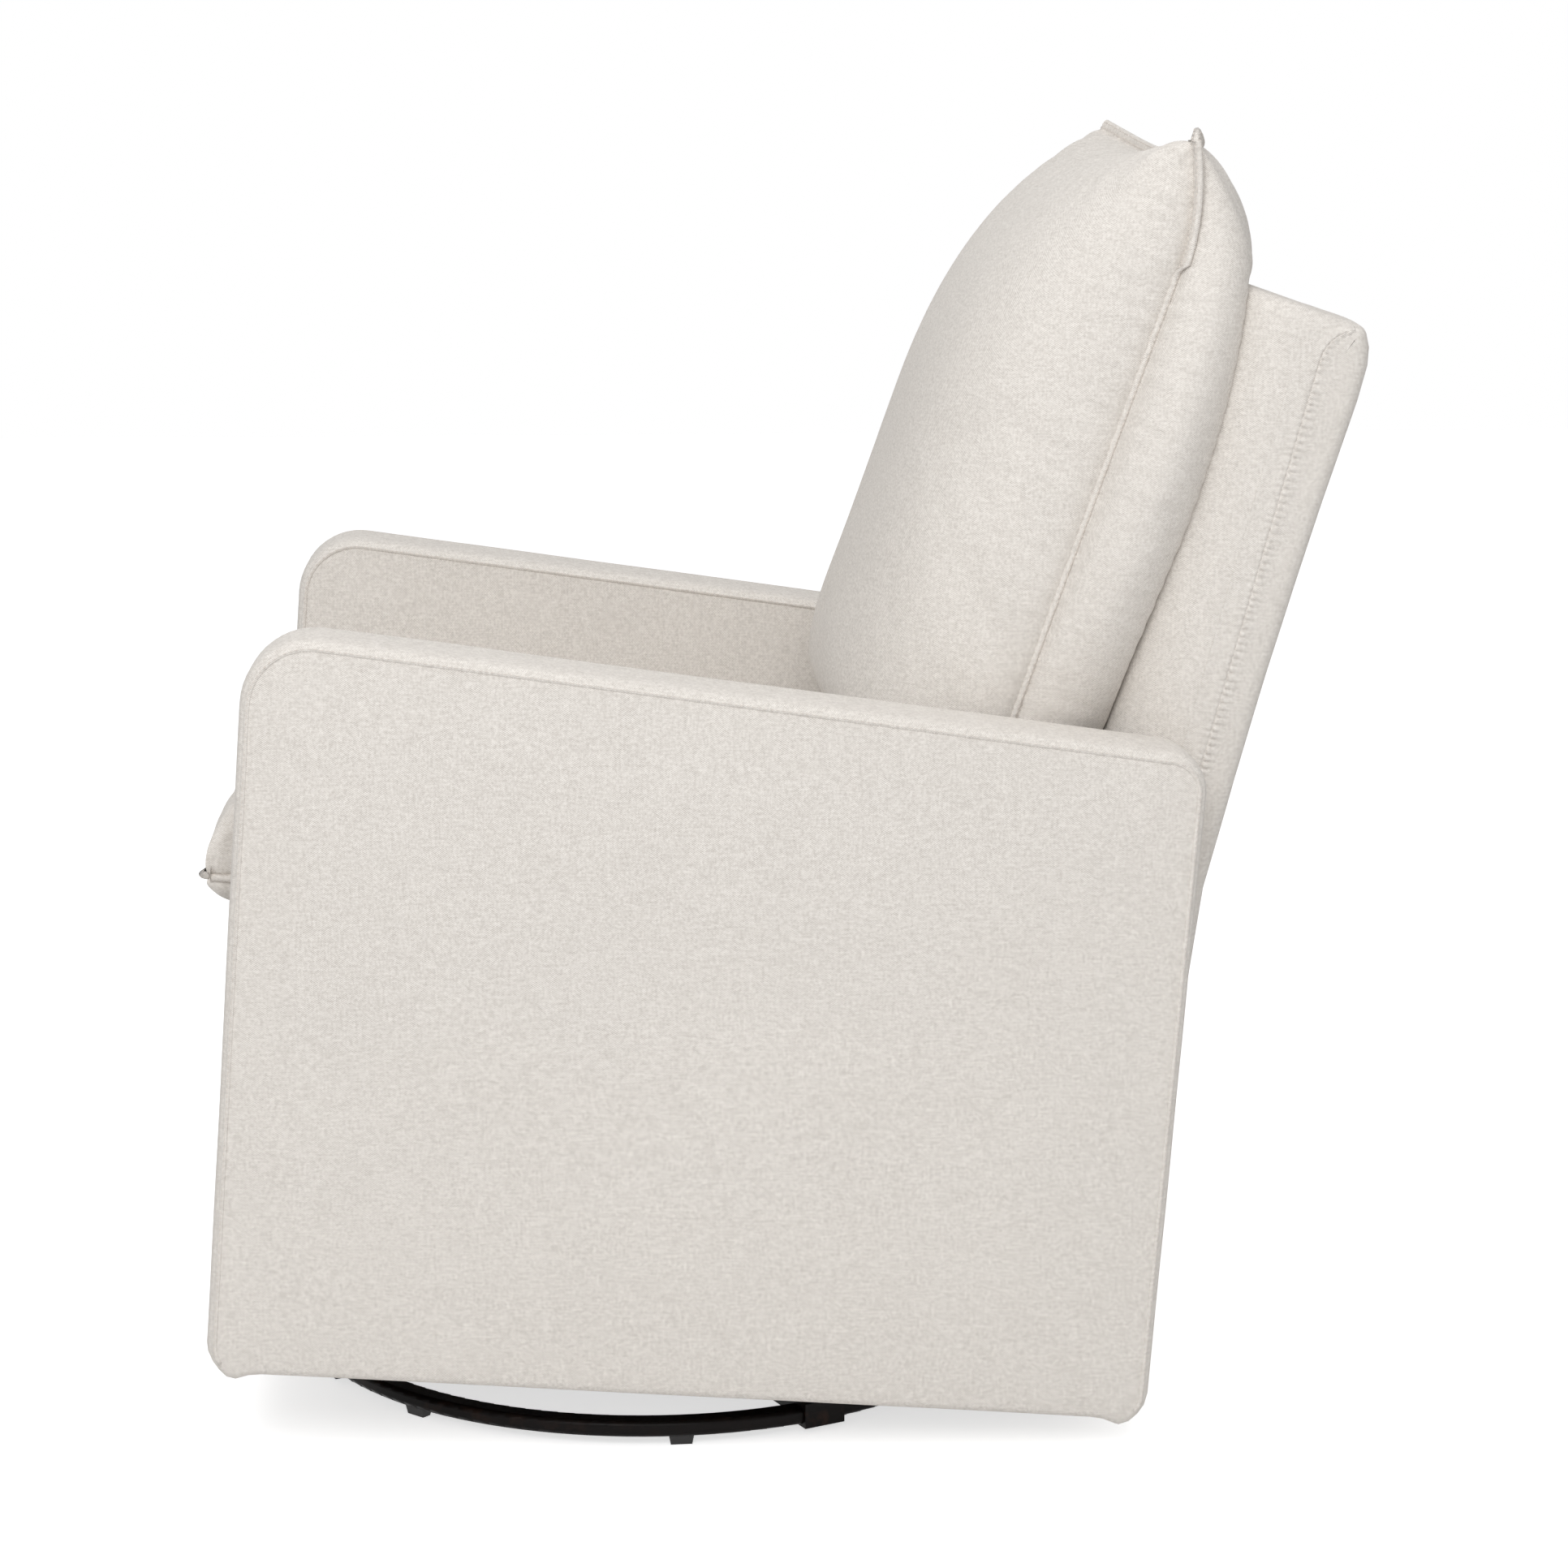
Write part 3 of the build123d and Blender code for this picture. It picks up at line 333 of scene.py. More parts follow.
def woven(name, light, dark, yarns, sheen, relief):
    """Woven cloth from its light and dark colours, yarns per metre, sheen and relief."""
    material, w, shader = finish(name, Roughness=0.92, Sheen_Weight=sheen, Sheen_Roughness=0.5)
    shader.inputs["Specular IOR Level"].default_value = 0.15
    cloth = use(w, plain_weave, Light=(*light, 1), Dark=(*dark, 1), Yarns_per_metre=yarns)
    w.join(cloth.outputs["Color"], shader.inputs["Base Color"])
    bump(w, shader, cloth.outputs["Height"], strength=0.4, distance=relief)
    return material


CLOTHS = {
    "oatmeal_cloth": ((0.885, 0.848, 0.80), (0.497, 0.46, 0.422), 432.0, 0.08, 0.0004),
    "deck_cloth": ((0.74, 0.70, 0.66), (0.50, 0.46, 0.42), 700.0, 0.05, 0.0003),
    "black_cloth": ((0.032, 0.032, 0.034), (0.010, 0.010, 0.011), 600.0, 0.05, 0.0003),
    "strap_cloth": ((0.34, 0.31, 0.27), (0.16, 0.15, 0.13), 300.0, 0.05, 0.0006),
    "sewing_thread": ((0.80, 0.75, 0.70), (0.60, 0.54, 0.49), 900.0, 0.1, 0.0001),
}
FINISHES = {name: woven(name, *values) for name, values in CLOTHS.items()}
FINISHES["filling"] = FINISHES["deck_cloth"]


def painted(name, colour, worn_colour, grains, low, high, relief, scuffs, coat):
    """Paint over steel, with its roughness mottled and its edges rubbed."""
    material, w, shader = finish(name, Coat_Weight=coat, Coat_Roughness=0.16, Specular_IOR_Level=0.09)
    skin = use(w, skin_mottle, Grains_per_metre=grains, Low=low, High=high)
    scuff = use(w, edge_scuff, Amount=scuffs)
    paint = w.blend(scuff.outputs["Mask"], (*colour, 1), (*worn_colour, 1))
    w.join(paint, shader.inputs["Base Color"])
    w.join(skin.outputs["Value"], shader.inputs["Roughness"])
    bump(w, shader, skin.outputs["Height"], strength=0.25, distance=relief)
    return material


FINISHES["ring_paint"] = painted(
    "ring_paint", (0.0045, 0.0032, 0.003), (0.05, 0.022, 0.013),
    grains=300, low=0.28, high=0.40, relief=0.0002, scuffs=0.4, coat=0.02,
)
FINISHES["mechanism_paint"] = painted(
    "powder_coat", (0.018, 0.018, 0.019), (0.12, 0.11, 0.10),
    grains=1400, low=0.45, high=0.62, relief=0.0004, scuffs=0.4, coat=0.0,
)

SKIN_TONES = (0.8, 1.15)


def plain_skin(name, colour, grains, low, high, relief, metallic=0.0):
    """Plastic, rubber or bare metal: colour, grains per metre, limits of roughness and relief."""
    material, w, shader = finish(name, Metallic=metallic)
    skin = use(w, skin_mottle, Grains_per_metre=grains, Low=low, High=high)
    dim, bright = ((*(share * c for c in colour), 1) for share in SKIN_TONES)
    tone = w.blend(skin.outputs["Height"], dim, bright)
    w.join(tone, shader.inputs["Base Color"])
    w.join(skin.outputs["Value"], shader.inputs["Roughness"])
    bump(w, shader, skin.outputs["Height"], strength=0.2, distance=relief)
    return material


SKINS = {
    "foot_plastic": ((0.008, 0.007, 0.007), 900, 0.45, 0.6, 0.0002),
    "bumper_rubber": ((0.022, 0.022, 0.022), 1200, 0.7, 0.85, 0.0002),
    "zinc_steel": ((0.62, 0.61, 0.58), 700, 0.25, 0.42, 0.0001, 1.0),
    "spring_wire": ((0.24, 0.24, 0.25), 900, 0.3, 0.5, 0.0001, 1.0),
}
for name, values in SKINS.items():
    FINISHES[name] = plain_skin(name, *values)

DARK_WOOD = (0.36, 0.22, 0.115, 1)
LIGHT_WOOD = (0.62, 0.43, 0.25, 1)
PORE_WOOD = (0.22, 0.13, 0.07, 1)
timber, w, shader = finish("timber", Roughness=0.6)
where = w.add("TexCoord").outputs["Object"]
grain_lines = w.stretched_noise(where, 90.0, (1.0, 0.06, 1.0), 6.0)
pores = w.stretched_noise(where, 700.0, (1.0, 0.03, 1.0), 2.0)
wood_tone = w.blend(w.span(grain_lines, *NOISE_RANGE), DARK_WOOD, LIGHT_WOOD)
wood_tone = w.blend(w.span(pores, 0.55, 0.72, 0.0, 0.35), wood_tone, PORE_WOOD)
w.join(wood_tone, shader.inputs["Base Color"])
bump(w, shader, pores, strength=0.25, distance=0.0003)

FINISHES["timber"] = timber
for subpart in frame["record"]["subparts"]:
    solid = nodes[subpart["node"]].data
    solid.materials.clear()
    solid.materials.append(FINISHES[subpart["material_slot"]])

# %% [markdown]
# The upholstered body leans back on its base by a few degrees.
# It is easier to model upright, in depth and height along the body, and to lean each piece back at the end.

# %% The leaning body
BODY_TILT = radians(4.3)
SWIVEL_Y = next(j for j in frame["joints"] if j["name"] == "swivel")["pos_m"][1]
TO_ROOM = Matrix.Translation((0, SWIVEL_Y, 0)) @ Matrix.Rotation(-BODY_TILT, 4, "X")


def only(piece):
    """Select one object and make it active."""
    bpy.ops.object.select_all(action="DESELECT")
    piece.select_set(True)
    bpy.context.view_layer.objects.active = piece


def dress(piece, finish_name, *replaced, slot="oatmeal_cloth", matrix=TO_ROOM):
    """Lean a piece back, give it its finish, let it ride on the seat and hide the CAD parts that it replaces."""
    only(piece)
    piece.matrix_world = matrix
    bpy.ops.object.transform_apply(location=True, rotation=True, scale=True)
    bpy.ops.object.shade_smooth()
    piece.data.materials.clear()
    piece.data.materials.append(FINISHES[finish_name])
    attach(piece, "seat")
    if replaced:
        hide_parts(*replaced)


def joined_mesh(name, points, faces):
    """New object from points and faces."""
    mesh = bpy.data.meshes.new(name)
    mesh.from_pydata([tuple(p) for p in points], [], faces)
    mesh.update()
    piece = bpy.data.objects.new(name, mesh)
    scene.collection.objects.link(piece)
    return piece


print("Body leans back by degrees:", round(BODY_TILT * 180 / pi, 2))

# %% [markdown]
# Arms, back, front panel and deck are padded slabs: a flat outline with rounded corners, a thickness,
# and softly rounded rims. A circle with as many corners is moved onto the outline, extruded and bevelled.
# Bisecting it into a net of small cells lets the padding swell afterwards.

# %% Padded slabs
SAME_PLACE = 1e-6
FACES_ACROSS = 0.999
ROUND_STEP = 0.004
LEAST_SEGMENTS = 4
CROWN_REACH = 0.06
STRIP_REACH = 0.01
RIPPLE_SCALE = 9.0
RIPPLE_RISE = 0.0010


def ends(points, place):
    """Least and greatest value of one coordinate."""
    values = [p[place] for p in points]
    return min(values), max(values)


def ripple(place):
    """Slight unevenness of padding."""
    return noise.noise(Vector(place) * RIPPLE_SCALE) * RIPPLE_RISE


def select_edges(piece, wanted):
    """Select the edges for which wanted is true, in edit mode."""
    bm = bmesh.from_edit_mesh(piece.data)
    for edge in bm.edges:
        edge.select_set(False)
    for edge in bm.edges:
        if wanted(edge):
            edge.select_set(True)
    bmesh.update_edit_mesh(piece.data)


def padded_slab(name, slab, cell):
    """Closed slab with rounded corners and rims, cut into cells. A slab is its outline, corner rounds,
    ends across the chair and rim."""
    outline, rounds, x_low, x_high, rim = slab
    piece = primitive(bpy.ops.mesh.primitive_circle_add, vertices=len(outline), fill_type="NGON")
    piece.name = name
    for vertex, (depth, height) in zip(piece.data.vertices, outline):
        vertex.co = (x_low, depth, height)
    bpy.ops.object.mode_set(mode="EDIT")
    bpy.ops.mesh.select_mode(type="EDGE")
    bpy.ops.mesh.select_all(action="SELECT")
    bpy.ops.mesh.extrude_region_move(TRANSFORM_OT_translate={"value": (x_high - x_low, 0, 0)})
    bpy.ops.mesh.select_all(action="SELECT")
    bpy.ops.mesh.normals_make_consistent(inside=False)
    for (depth, height), radius in zip(outline, rounds):
        if radius:
            select_edges(piece, lambda e: all(
                hypot(v.co.y - depth, v.co.z - height) < SAME_PLACE for v in e.verts))
            segments = max(LEAST_SEGMENTS, int(radius / ROUND_STEP))
            bpy.ops.mesh.bevel(offset=radius, segments=segments, affect="EDGES")
    select_edges(piece, lambda e: any(abs(f.normal.x) > FACES_ACROSS for f in e.link_faces))
    bpy.ops.mesh.bevel(offset=rim, segments=LEAST_SEGMENTS, affect="EDGES")
    spans = ((0, x_low, x_high), (1, *ends(outline, 0)), (2, *ends(outline, 1)))
    for axis, low, high in spans:
        normal = [0, 0, 0]
        normal[axis] = 1
        for step in range(1, int((high - low) / cell)):
            place = [0, 0, 0]
            place[axis] = low + step * cell
            bpy.ops.mesh.select_all(action="SELECT")
            bpy.ops.mesh.bisect(plane_co=place, plane_no=normal)
    bpy.ops.object.mode_set(mode="OBJECT")
    return piece


def inset_from(outline, rounds, depth, height):
    """Distance of a point inside a rounded outline, and the outward direction there."""
    count = len(outline)
    sides = []
    best, direction = 9.0, (0.0, 0.0)
    for i in range(count):
        (u0, v0), (u1, v1) = outline[i], outline[(i + 1) % count]
        length = hypot(u1 - u0, v1 - v0)
        along = ((u1 - u0) / length, (v1 - v0) / length)
        normal = (along[1], -along[0])
        run = (depth - u0) * along[0] + (height - v0) * along[1]
        past = max(-run, run - length, 0.0)
        inside = (u0 - depth) * normal[0] + (v0 - height) * normal[1]
        sides.append((inside, normal))
        if hypot(inside, past) < best:
            best, direction = hypot(inside, past), normal
    for i in range(count):
        (before, n0), (after, n1) = sides[i - 1], sides[i]
        radius = rounds[i]
        if radius and before < radius and after < radius and best < radius:
            away = hypot(radius - before, radius - after)
            best = radius - away
            pull = (radius - before, radius - after)
            direction = tuple((pull[0] * a + pull[1] * b) / away for a, b in zip(n0, n1))
    return best, direction


def face_x(slab, out, crown, depth, height):
    """Place across the chair of a padded face, at a depth and a height; out is 1 or -1."""
    outline, rounds, x_low, x_high, rim = slab
    inset = max(inset_from(outline, rounds, depth, height)[0], 0.0)
    panel = 1 - exp(-inset / CROWN_REACH)
    drop = rim - (rim * rim - (rim - min(inset, rim)) ** 2) ** 0.5
    flat = x_high if out > 0 else x_low
    return flat + out * (crown * panel - drop) + ripple((flat, depth, height)) * panel


def swell(piece, slab, crown_low, crown_high, strip_crown):
    """Let the padding push the two panels and the strip between them outwards."""
    outline, rounds, x_low, x_high, rim = slab
    middle, half = (x_low + x_high) / 2, (x_high - x_low) / 2
    for vertex in piece.data.vertices:
        x, depth, height = vertex.co
        inside, out = inset_from(outline, rounds, depth, height)
        across = (x - middle) / half
        panel = 1 - exp(-max(inside, 0) / CROWN_REACH)
        crown = crown_high if across > 0 else -crown_low
        uneven = ripple((x, depth, height))
        strip = strip_crown * max(0.0, 1 - across**6) * exp(-max(inside, 0) / STRIP_REACH)
        vertex.co.x += crown * panel * abs(across) ** 3 + uneven * panel
        vertex.co.y += out[0] * (strip + uneven * 0.5 * (1 - panel))
        vertex.co.z += out[1] * (strip + uneven * 0.5 * (1 - panel))


print("Rims are rounded in steps:", LEAST_SEGMENTS)

# %% [markdown]
# Sewing is what makes padding look like upholstery. A seam is a narrow raised band that follows the rim, with
# a row of stitches along it. One stitch is modelled once, as a tiny stretched ball, and copied along the row.

# %% Seams and stitches
STITCH_PITCH = 0.0046
STITCH_LENGTH = 0.0034
STITCH_RADIUS = 0.00042
HALF_TURN = 6
RIM_STEP = 0.006
BAND_THICKNESS = 0.0012

pattern = primitive(bpy.ops.mesh.primitive_uv_sphere_add, segments=6, ring_count=4, radius=1)
STITCH_POINTS = np.array([tuple(v.co) for v in pattern.data.vertices])
STITCH_FACES = [tuple(p.vertices) for p in pattern.data.polygons]
bpy.data.objects.remove(pattern)


def rim_path(outline, rounds):
    """Points from within an outline's first corner to within its last, with their outward directions."""
    path = []
    count = len(outline)
    for i in range(count):
        corner = Vector(outline[i])
        into = (corner - Vector(outline[i - 1])).normalized()
        away = (Vector(outline[(i + 1) % count]) - corner).normalized()
        before, after = Vector((into.y, -into.x)), Vector((away.y, -away.x))
        radius = rounds[i]
        turn = before.dot(after)
        arc = radius * sqrt((1 + turn) / (1 - turn))
        centre = corner - into * radius - before * arc
        first = HALF_TURN if i == 0 else 0
        last = HALF_TURN if i == count - 1 else 2 * HALF_TURN
        for k in range(first, last + 1):
            mid = before.lerp(after, k / (2 * HALF_TURN)).normalized()
            path.append((centre + mid * arc, mid))
        if i < count - 1:
            run = (Vector(outline[i + 1]) - corner).length - radius - rounds[i + 1]
            pieces = max(1, int(run / RIM_STEP))
            for k in range(1, pieces):
                path.append((corner + away * (radius + run * k / pieces), after))
    return path


def band(name, rows):
    """Strip through rows of points; each row runs the whole length of the seam."""
    length = len(rows[0])
    points = [p for row in rows for p in row]
    faces = []
    for r in range(len(rows) - 1):
        for k in range(length - 1):
            a = r * length + k
            faces.append((a, a + 1, a + length + 1, a + length))
    piece = joined_mesh(name, points, faces)
    only(piece)
    backing = piece.modifiers.new("backing", "SOLIDIFY")
    backing.thickness = BAND_THICKNESS
    backing.offset = 0
    bpy.ops.object.modifier_apply(modifier=backing.name)
    return piece


def stitch_piece(name, rows):
    """One object with stitches along every row; a row is its points and its upward directions."""
    all_points, all_faces = [], []
    for row_points, row_ups in rows:
        points = np.array([tuple(p) for p in row_points])
        ups = np.array([tuple(u) for u in row_ups])
        runs = np.linalg.norm(np.diff(points, axis=0), axis=1)
        reach = np.concatenate([[0], np.cumsum(runs)])
        for at in np.arange(STITCH_PITCH, reach[-1] - STITCH_PITCH, STITCH_PITCH):
            k = min(int(np.searchsorted(reach, at)) - 1, len(runs) - 1)
            share = (at - reach[k]) / runs[k]
            place = points[k] * (1 - share) + points[k + 1] * share
            along = (points[k + 1] - points[k]) / runs[k]
            side = np.cross(ups[k], along)
            axes = np.stack([along * STITCH_LENGTH / 2, side * STITCH_RADIUS, ups[k] * STITCH_RADIUS])
            base = len(all_points) * len(STITCH_POINTS)
            all_points.append(place + STITCH_POINTS[:, [2, 0, 1]] @ axes)
            all_faces += [tuple(base + i for i in face) for face in STITCH_FACES]
    return joined_mesh(name, np.concatenate(all_points), all_faces)


print("Faces in one stitch:", len(STITCH_FACES))

# %% [markdown]
# Each arm is a board wrapped in padding: two flat panels and a strip that runs up the front, along the top
# and down the rear. A narrow seam at each panel's edge joins it to the strip, and the cloth hangs a little at
# the lower corners.

# %% Arms
ARM_PITCH = 0.605
ARM_THICKNESS = 0.080
STRIP_CROWN = 0.0045
ARM_FRONT = -0.361 + STRIP_CROWN
ARM_REAR = 0.379 - STRIP_CROWN
ARM_BOTTOM = 0.0595
ARM_TOP_SET = 0.0015
ARM_FRONT_TOP = 0.640 - STRIP_CROWN
ARM_REAR_TOP = 0.591 - STRIP_CROWN
ARM_RIM = 0.004
ARM_CELL = 0.010
ARM_OUTLINE = (
    (ARM_REAR, ARM_BOTTOM),
    (ARM_REAR, ARM_REAR_TOP),
    (ARM_FRONT + ARM_TOP_SET, ARM_FRONT_TOP),
    (ARM_FRONT, ARM_BOTTOM),
)
ARM_ROUNDS = (0.018, 0.026, 0.053, 0.020)
OUTER_CROWN = 0.005
INNER_CROWN = 0.002
SEAM_INSETS = (0.0006, 0.0014, 0.0022, 0.0030, 0.0038, 0.0048)
SEAM_HEIGHTS = (-0.0010, 0.0004, 0.0009, 0.0009, 0.0004, -0.0010)
STITCH_INSET = 0.0026
STITCH_RISE = 0.0016
FOOT_FOLD = 0.011
FOOT_PLACE = 0.017
FOOT_RISE = 0.040
FOOT_SAG = 0.005


def tuck_feet(piece):
    """Let the folded cloth hang below the lower corners of an arm."""
    for vertex in piece.data.vertices:
        depth, height = vertex.co.y, vertex.co.z
        low = max(0.0, min(1.0, 1 - (height - ARM_BOTTOM) / FOOT_RISE))
        from_end = min(depth - ARM_FRONT, ARM_REAR - depth)
        fold = exp(-(((from_end - FOOT_PLACE) / FOOT_FOLD) ** 2))
        vertex.co.z -= FOOT_SAG * low * fold


def rim_row(slab, path, out, crown, inset, rise):
    """Row of points along the rim of a panel, within its edge and over its face."""
    places = [p - n * inset for p, n in path]
    return [(face_x(slab, out, crown, *p) + out * rise, *p) for p in places]


for side, sign in (("left", 1), ("right", -1)):
    x_inner = (ARM_PITCH - ARM_THICKNESS) / 2
    x_outer = x_inner + ARM_THICKNESS
    arm_slab = (ARM_OUTLINE, ARM_ROUNDS, *sorted((sign * x_inner, sign * x_outer)), ARM_RIM)
    crowns = (INNER_CROWN, OUTER_CROWN) if sign > 0 else (OUTER_CROWN, INNER_CROWN)
    arm = padded_slab("arm_padding_" + side, arm_slab, ARM_CELL)
    swell(arm, arm_slab, *crowns, STRIP_CROWN)
    tuck_feet(arm)
    dress(arm, "oatmeal_cloth", "arm_cover_" + side)
    path = rim_path(ARM_OUTLINE, ARM_ROUNDS)
    rows = []
    for end, out, crown in (("_low", -1, crowns[0]), ("_high", 1, crowns[1])):
        face = (arm_slab, path, out, crown)
        ridge = [rim_row(*face, inset, rise) for inset, rise in zip(SEAM_INSETS, SEAM_HEIGHTS)]
        seam = band("arm_seam_" + side + end, ridge)
        tuck_feet(seam)
        dress(seam, "oatmeal_cloth")
        rows.append((rim_row(*face, STITCH_INSET, STITCH_RISE), [(out, 0, 0)] * len(path)))
    thread = stitch_piece("arm_thread_" + side, rows)
    tuck_feet(thread)
    dress(thread, "sewing_thread")
    stitch_count = len(thread.data.polygons) // len(STITCH_FACES)
    print("Arm", side, "faces:", len(arm.data.polygons), "stitches:", stitch_count)

# %% [markdown]
# The back is one upholstered block: the inside back, its top and sides, and the outside back that runs down
# between the arms. Along each side the outside back is sewn on in a puckered seam, which bends to the upper
# corner. The block is a slab again, and the seam is a fine patch of cloth laid over it, with a groove and
# small gathers.

# %% Back
BACK_LEAN = radians(10.8)
KNEE = (0.394, 0.471)
BACK_LENGTH = 0.456
BACK_TOP_RISE = 0.007
BACK_THICKNESS = 0.100
SHELL_THICKNESS = 0.027
SHELL_FOOT = 0.372
PANEL_BOTTOM = 0.0655
BACK_HALF = 0.2622
BACK_BOTTOM = 0.3531
BACK_RIM = 0.012
BACK_CROWN = 0.002
BACK_STRIP = 0.003
BACK_CELL = 0.013
LOW_BOW = 0.004
HIGH_BOW = 0.0155
BOW_END_POWER = 30
REAR_SHARES = (0.2, 0.4, 0.55, 0.7, 0.8, 0.88, 0.94, 0.97, 0.99)
FRONT_ROLL = 0.058
ROLL_DROP = 0.030


def back_point(along, across):
    """Depth and height of a point on the back, along and behind its rear face."""
    depth = KNEE[0] + along * sin(BACK_LEAN) + across * cos(BACK_LEAN)
    return depth, KNEE[1] + along * cos(BACK_LEAN) - across * sin(BACK_LEAN)


def back_front(height):
    """Depth of the padded front face at a height."""
    depth, start = back_point(0, -BACK_THICKNESS)
    return depth + (height - start) * sin(BACK_LEAN) / cos(BACK_LEAN)


def rear_bow(share):
    """How far the padded rear stands out of its straight line, most of all below the top."""
    return LOW_BOW * (1 - share) ** 2 + HIGH_BOW * share**2 * (1 - share**BOW_END_POWER)


rear_points = [back_point(BACK_LENGTH * t, rear_bow(t)) for t in REAR_SHARES]
BACK_OUTLINE = (
    (SHELL_FOOT, PANEL_BOTTOM),
    back_point(0, rear_bow(0)),
    *rear_points,
    back_point(BACK_LENGTH, 0),
    back_point(BACK_LENGTH + BACK_TOP_RISE, -BACK_THICKNESS),
    (back_front(BACK_BOTTOM), BACK_BOTTOM),
    (SHELL_FOOT - SHELL_THICKNESS, BACK_BOTTOM),
    (SHELL_FOOT - SHELL_THICKNESS, PANEL_BOTTOM),
)
BACK_ROUNDS = (0.006, *[0.0] * (1 + len(rear_points)), 0.004, 0.014, 0.0, 0.0, 0.006)
BACK_SLAB = (BACK_OUTLINE, BACK_ROUNDS, -BACK_HALF, BACK_HALF, BACK_RIM)
back = padded_slab("back_padding", BACK_SLAB, BACK_CELL)
swell(back, BACK_SLAB, BACK_CROWN, BACK_CROWN, BACK_STRIP)
for vertex in back.data.vertices:
    x, depth, height = vertex.co
    from_front = (depth - back_front(height)) * cos(BACK_LEAN)
    if height > BACK_BOTTOM:
        vertex.co.x -= x / BACK_HALF * ROLL_DROP * max(0.0, 1 - from_front / FRONT_ROLL) ** 2
dress(back, "oatmeal_cloth", "back_cover", "outside_back")

SEAM_IN = 0.0275
SEAM_START = 0.03
SEAM_TURN = 0.425
SEAM_STEP = 0.001
PATCH_FRONT = 0.019
PATCH_REAR = 0.0135
PATCH_RISE = 0.0005
PATCH_SINK = 0.0008
GROOVE_DEPTH = 0.0012
GROOVE_HALF = 0.0011
PUCKER_PITCH = 0.0060
PUCKER_RISE = 0.0009
DIMPLE_DEPTH = 0.0016
DIMPLE_PLACE = 0.0030
DIMPLE_HALF = 0.0016
REAR_GATHERS = 0.008
FRONT_GATHERS = 0.003
PATCH_ROWS = 33
BEND_STEPS = 36
SEAM_BEND = (0.446, -0.025)
SEAM_TIP = (0.452, -0.007)
TIP_WIDTH = 0.12
TIP_FADE = 60
PUCKER_DRIFT = 4
DRIFT_SCALE = 50
THREAD_SINK = 0.0004

straight = int((SEAM_TURN - SEAM_START) / SEAM_STEP)
seam_line = [Vector((SEAM_START + k * SEAM_STEP, -SEAM_IN)) for k in range(straight)]
begin, bend, tip = Vector((SEAM_TURN, -SEAM_IN)), Vector(SEAM_BEND), Vector(SEAM_TIP)
for k in range(BEND_STEPS + 1):
    t = k / BEND_STEPS
    seam_line.append(begin * (1 - t) ** 2 + bend * 2 * t * (1 - t) + tip * t * t)

shares = np.linspace(-1, 1, PATCH_ROWS)
offsets = [u * abs(u) * (PATCH_REAR if u > 0 else PATCH_FRONT) for u in shares]


def seam_lift(offset, wave):
    """Height of the sewn seam over the side: a groove with gathers, most of them behind it."""
    edge = abs(offset) / (PATCH_REAR if offset > 0 else PATCH_FRONT)
    groove = exp(-((offset / GROOVE_HALF) ** 2))
    reach = REAR_GATHERS if offset > 0 else FRONT_GATHERS
    gather_rise = PUCKER_RISE * wave * exp(-abs(offset) / reach) * (1 - groove)
    dimple = DIMPLE_DEPTH * max(0.0, -wave) ** 4 * exp(-(((offset - DIMPLE_PLACE) / DIMPLE_HALF) ** 2))
    swell_up = PATCH_RISE * (1 - edge**2) ** 2 - PATCH_SINK * edge**2 * (3 - 2 * edge)
    return swell_up - GROOVE_DEPTH * groove + gather_rise - dimple


for side, sign in (("left", 1), ("right", -1)):
    rows = [[] for _ in offsets]
    thread_points = []
    run = 0.0
    for k, place in enumerate(seam_line):
        after = seam_line[min(k + 1, len(seam_line) - 1)]
        before = seam_line[max(k - 1, 0)]
        along = (after - before).normalized()
        across = Vector((-along.y, along.x))
        run += (after - place).length
        fade = min(1.0, TIP_WIDTH + (len(seam_line) - k) / TIP_FADE)
        drift = PUCKER_DRIFT * noise.noise(Vector((run * DRIFT_SCALE, sign, 0)))
        wave = sin(2 * pi * run / PUCKER_PITCH + drift)
        for row, offset in zip(rows, offsets):
            spot = back_point(*(place + across * (offset * fade)))
            row.append((face_x(BACK_SLAB, sign, BACK_CROWN, *spot) + sign * seam_lift(offset, wave), *spot))
        spot = back_point(*place)
        thread_points.append((face_x(BACK_SLAB, sign, BACK_CROWN, *spot) - sign * THREAD_SINK, *spot))
    patch = band("back_seam_" + side, rows)
    dress(patch, "oatmeal_cloth")
    thread = stitch_piece("back_thread_" + side, [(thread_points, [(sign, 0, 0)] * len(thread_points))])
    dress(thread, "sewing_thread")
print("Back faces:", len(back.data.polygons), "seam points:", len(seam_line))

# %% [markdown]
# Under the cushion lie the front panel, the deck over the springs and the black cloth below the frame.

# %% Front panel, deck and underside cloth
FRAME_FRONT = -0.335
FRAME_BOTTOM = 0.23482
DECK_TOP = 0.37812
DECK_BOTTOM = 0.35312
BORDER_THICKNESS = 0.018
WOOD = 0.022
DUST_HALF = 0.1960
DUST_REAR = 0.3145
DUST_THICKNESS = 0.0012
DUST_SAG = 0.004
PANEL_RIM = 0.004
PANEL_CELL = 0.012
PANEL_STRIP = 0.003
DECK_GAP = 0.0003
DECK_CELL = 0.014


def box(rear, front, low, high):
    """Outline of a plain box, from its rear foot round to its front foot."""
    return (rear, low), (rear, high), (front, high), (front, low)


border_outline = box(FRAME_FRONT, FRAME_FRONT - BORDER_THICKNESS, PANEL_BOTTOM, DECK_TOP)
border_slab = (border_outline, (0.0, 0.0, 0.006, 0.006), -BACK_HALF, BACK_HALF, PANEL_RIM)
border = padded_slab("front_panel", border_slab, PANEL_CELL)
swell(border, border_slab, 0.0, 0.0, PANEL_STRIP)
dress(border, "oatmeal_cloth", "front_border")

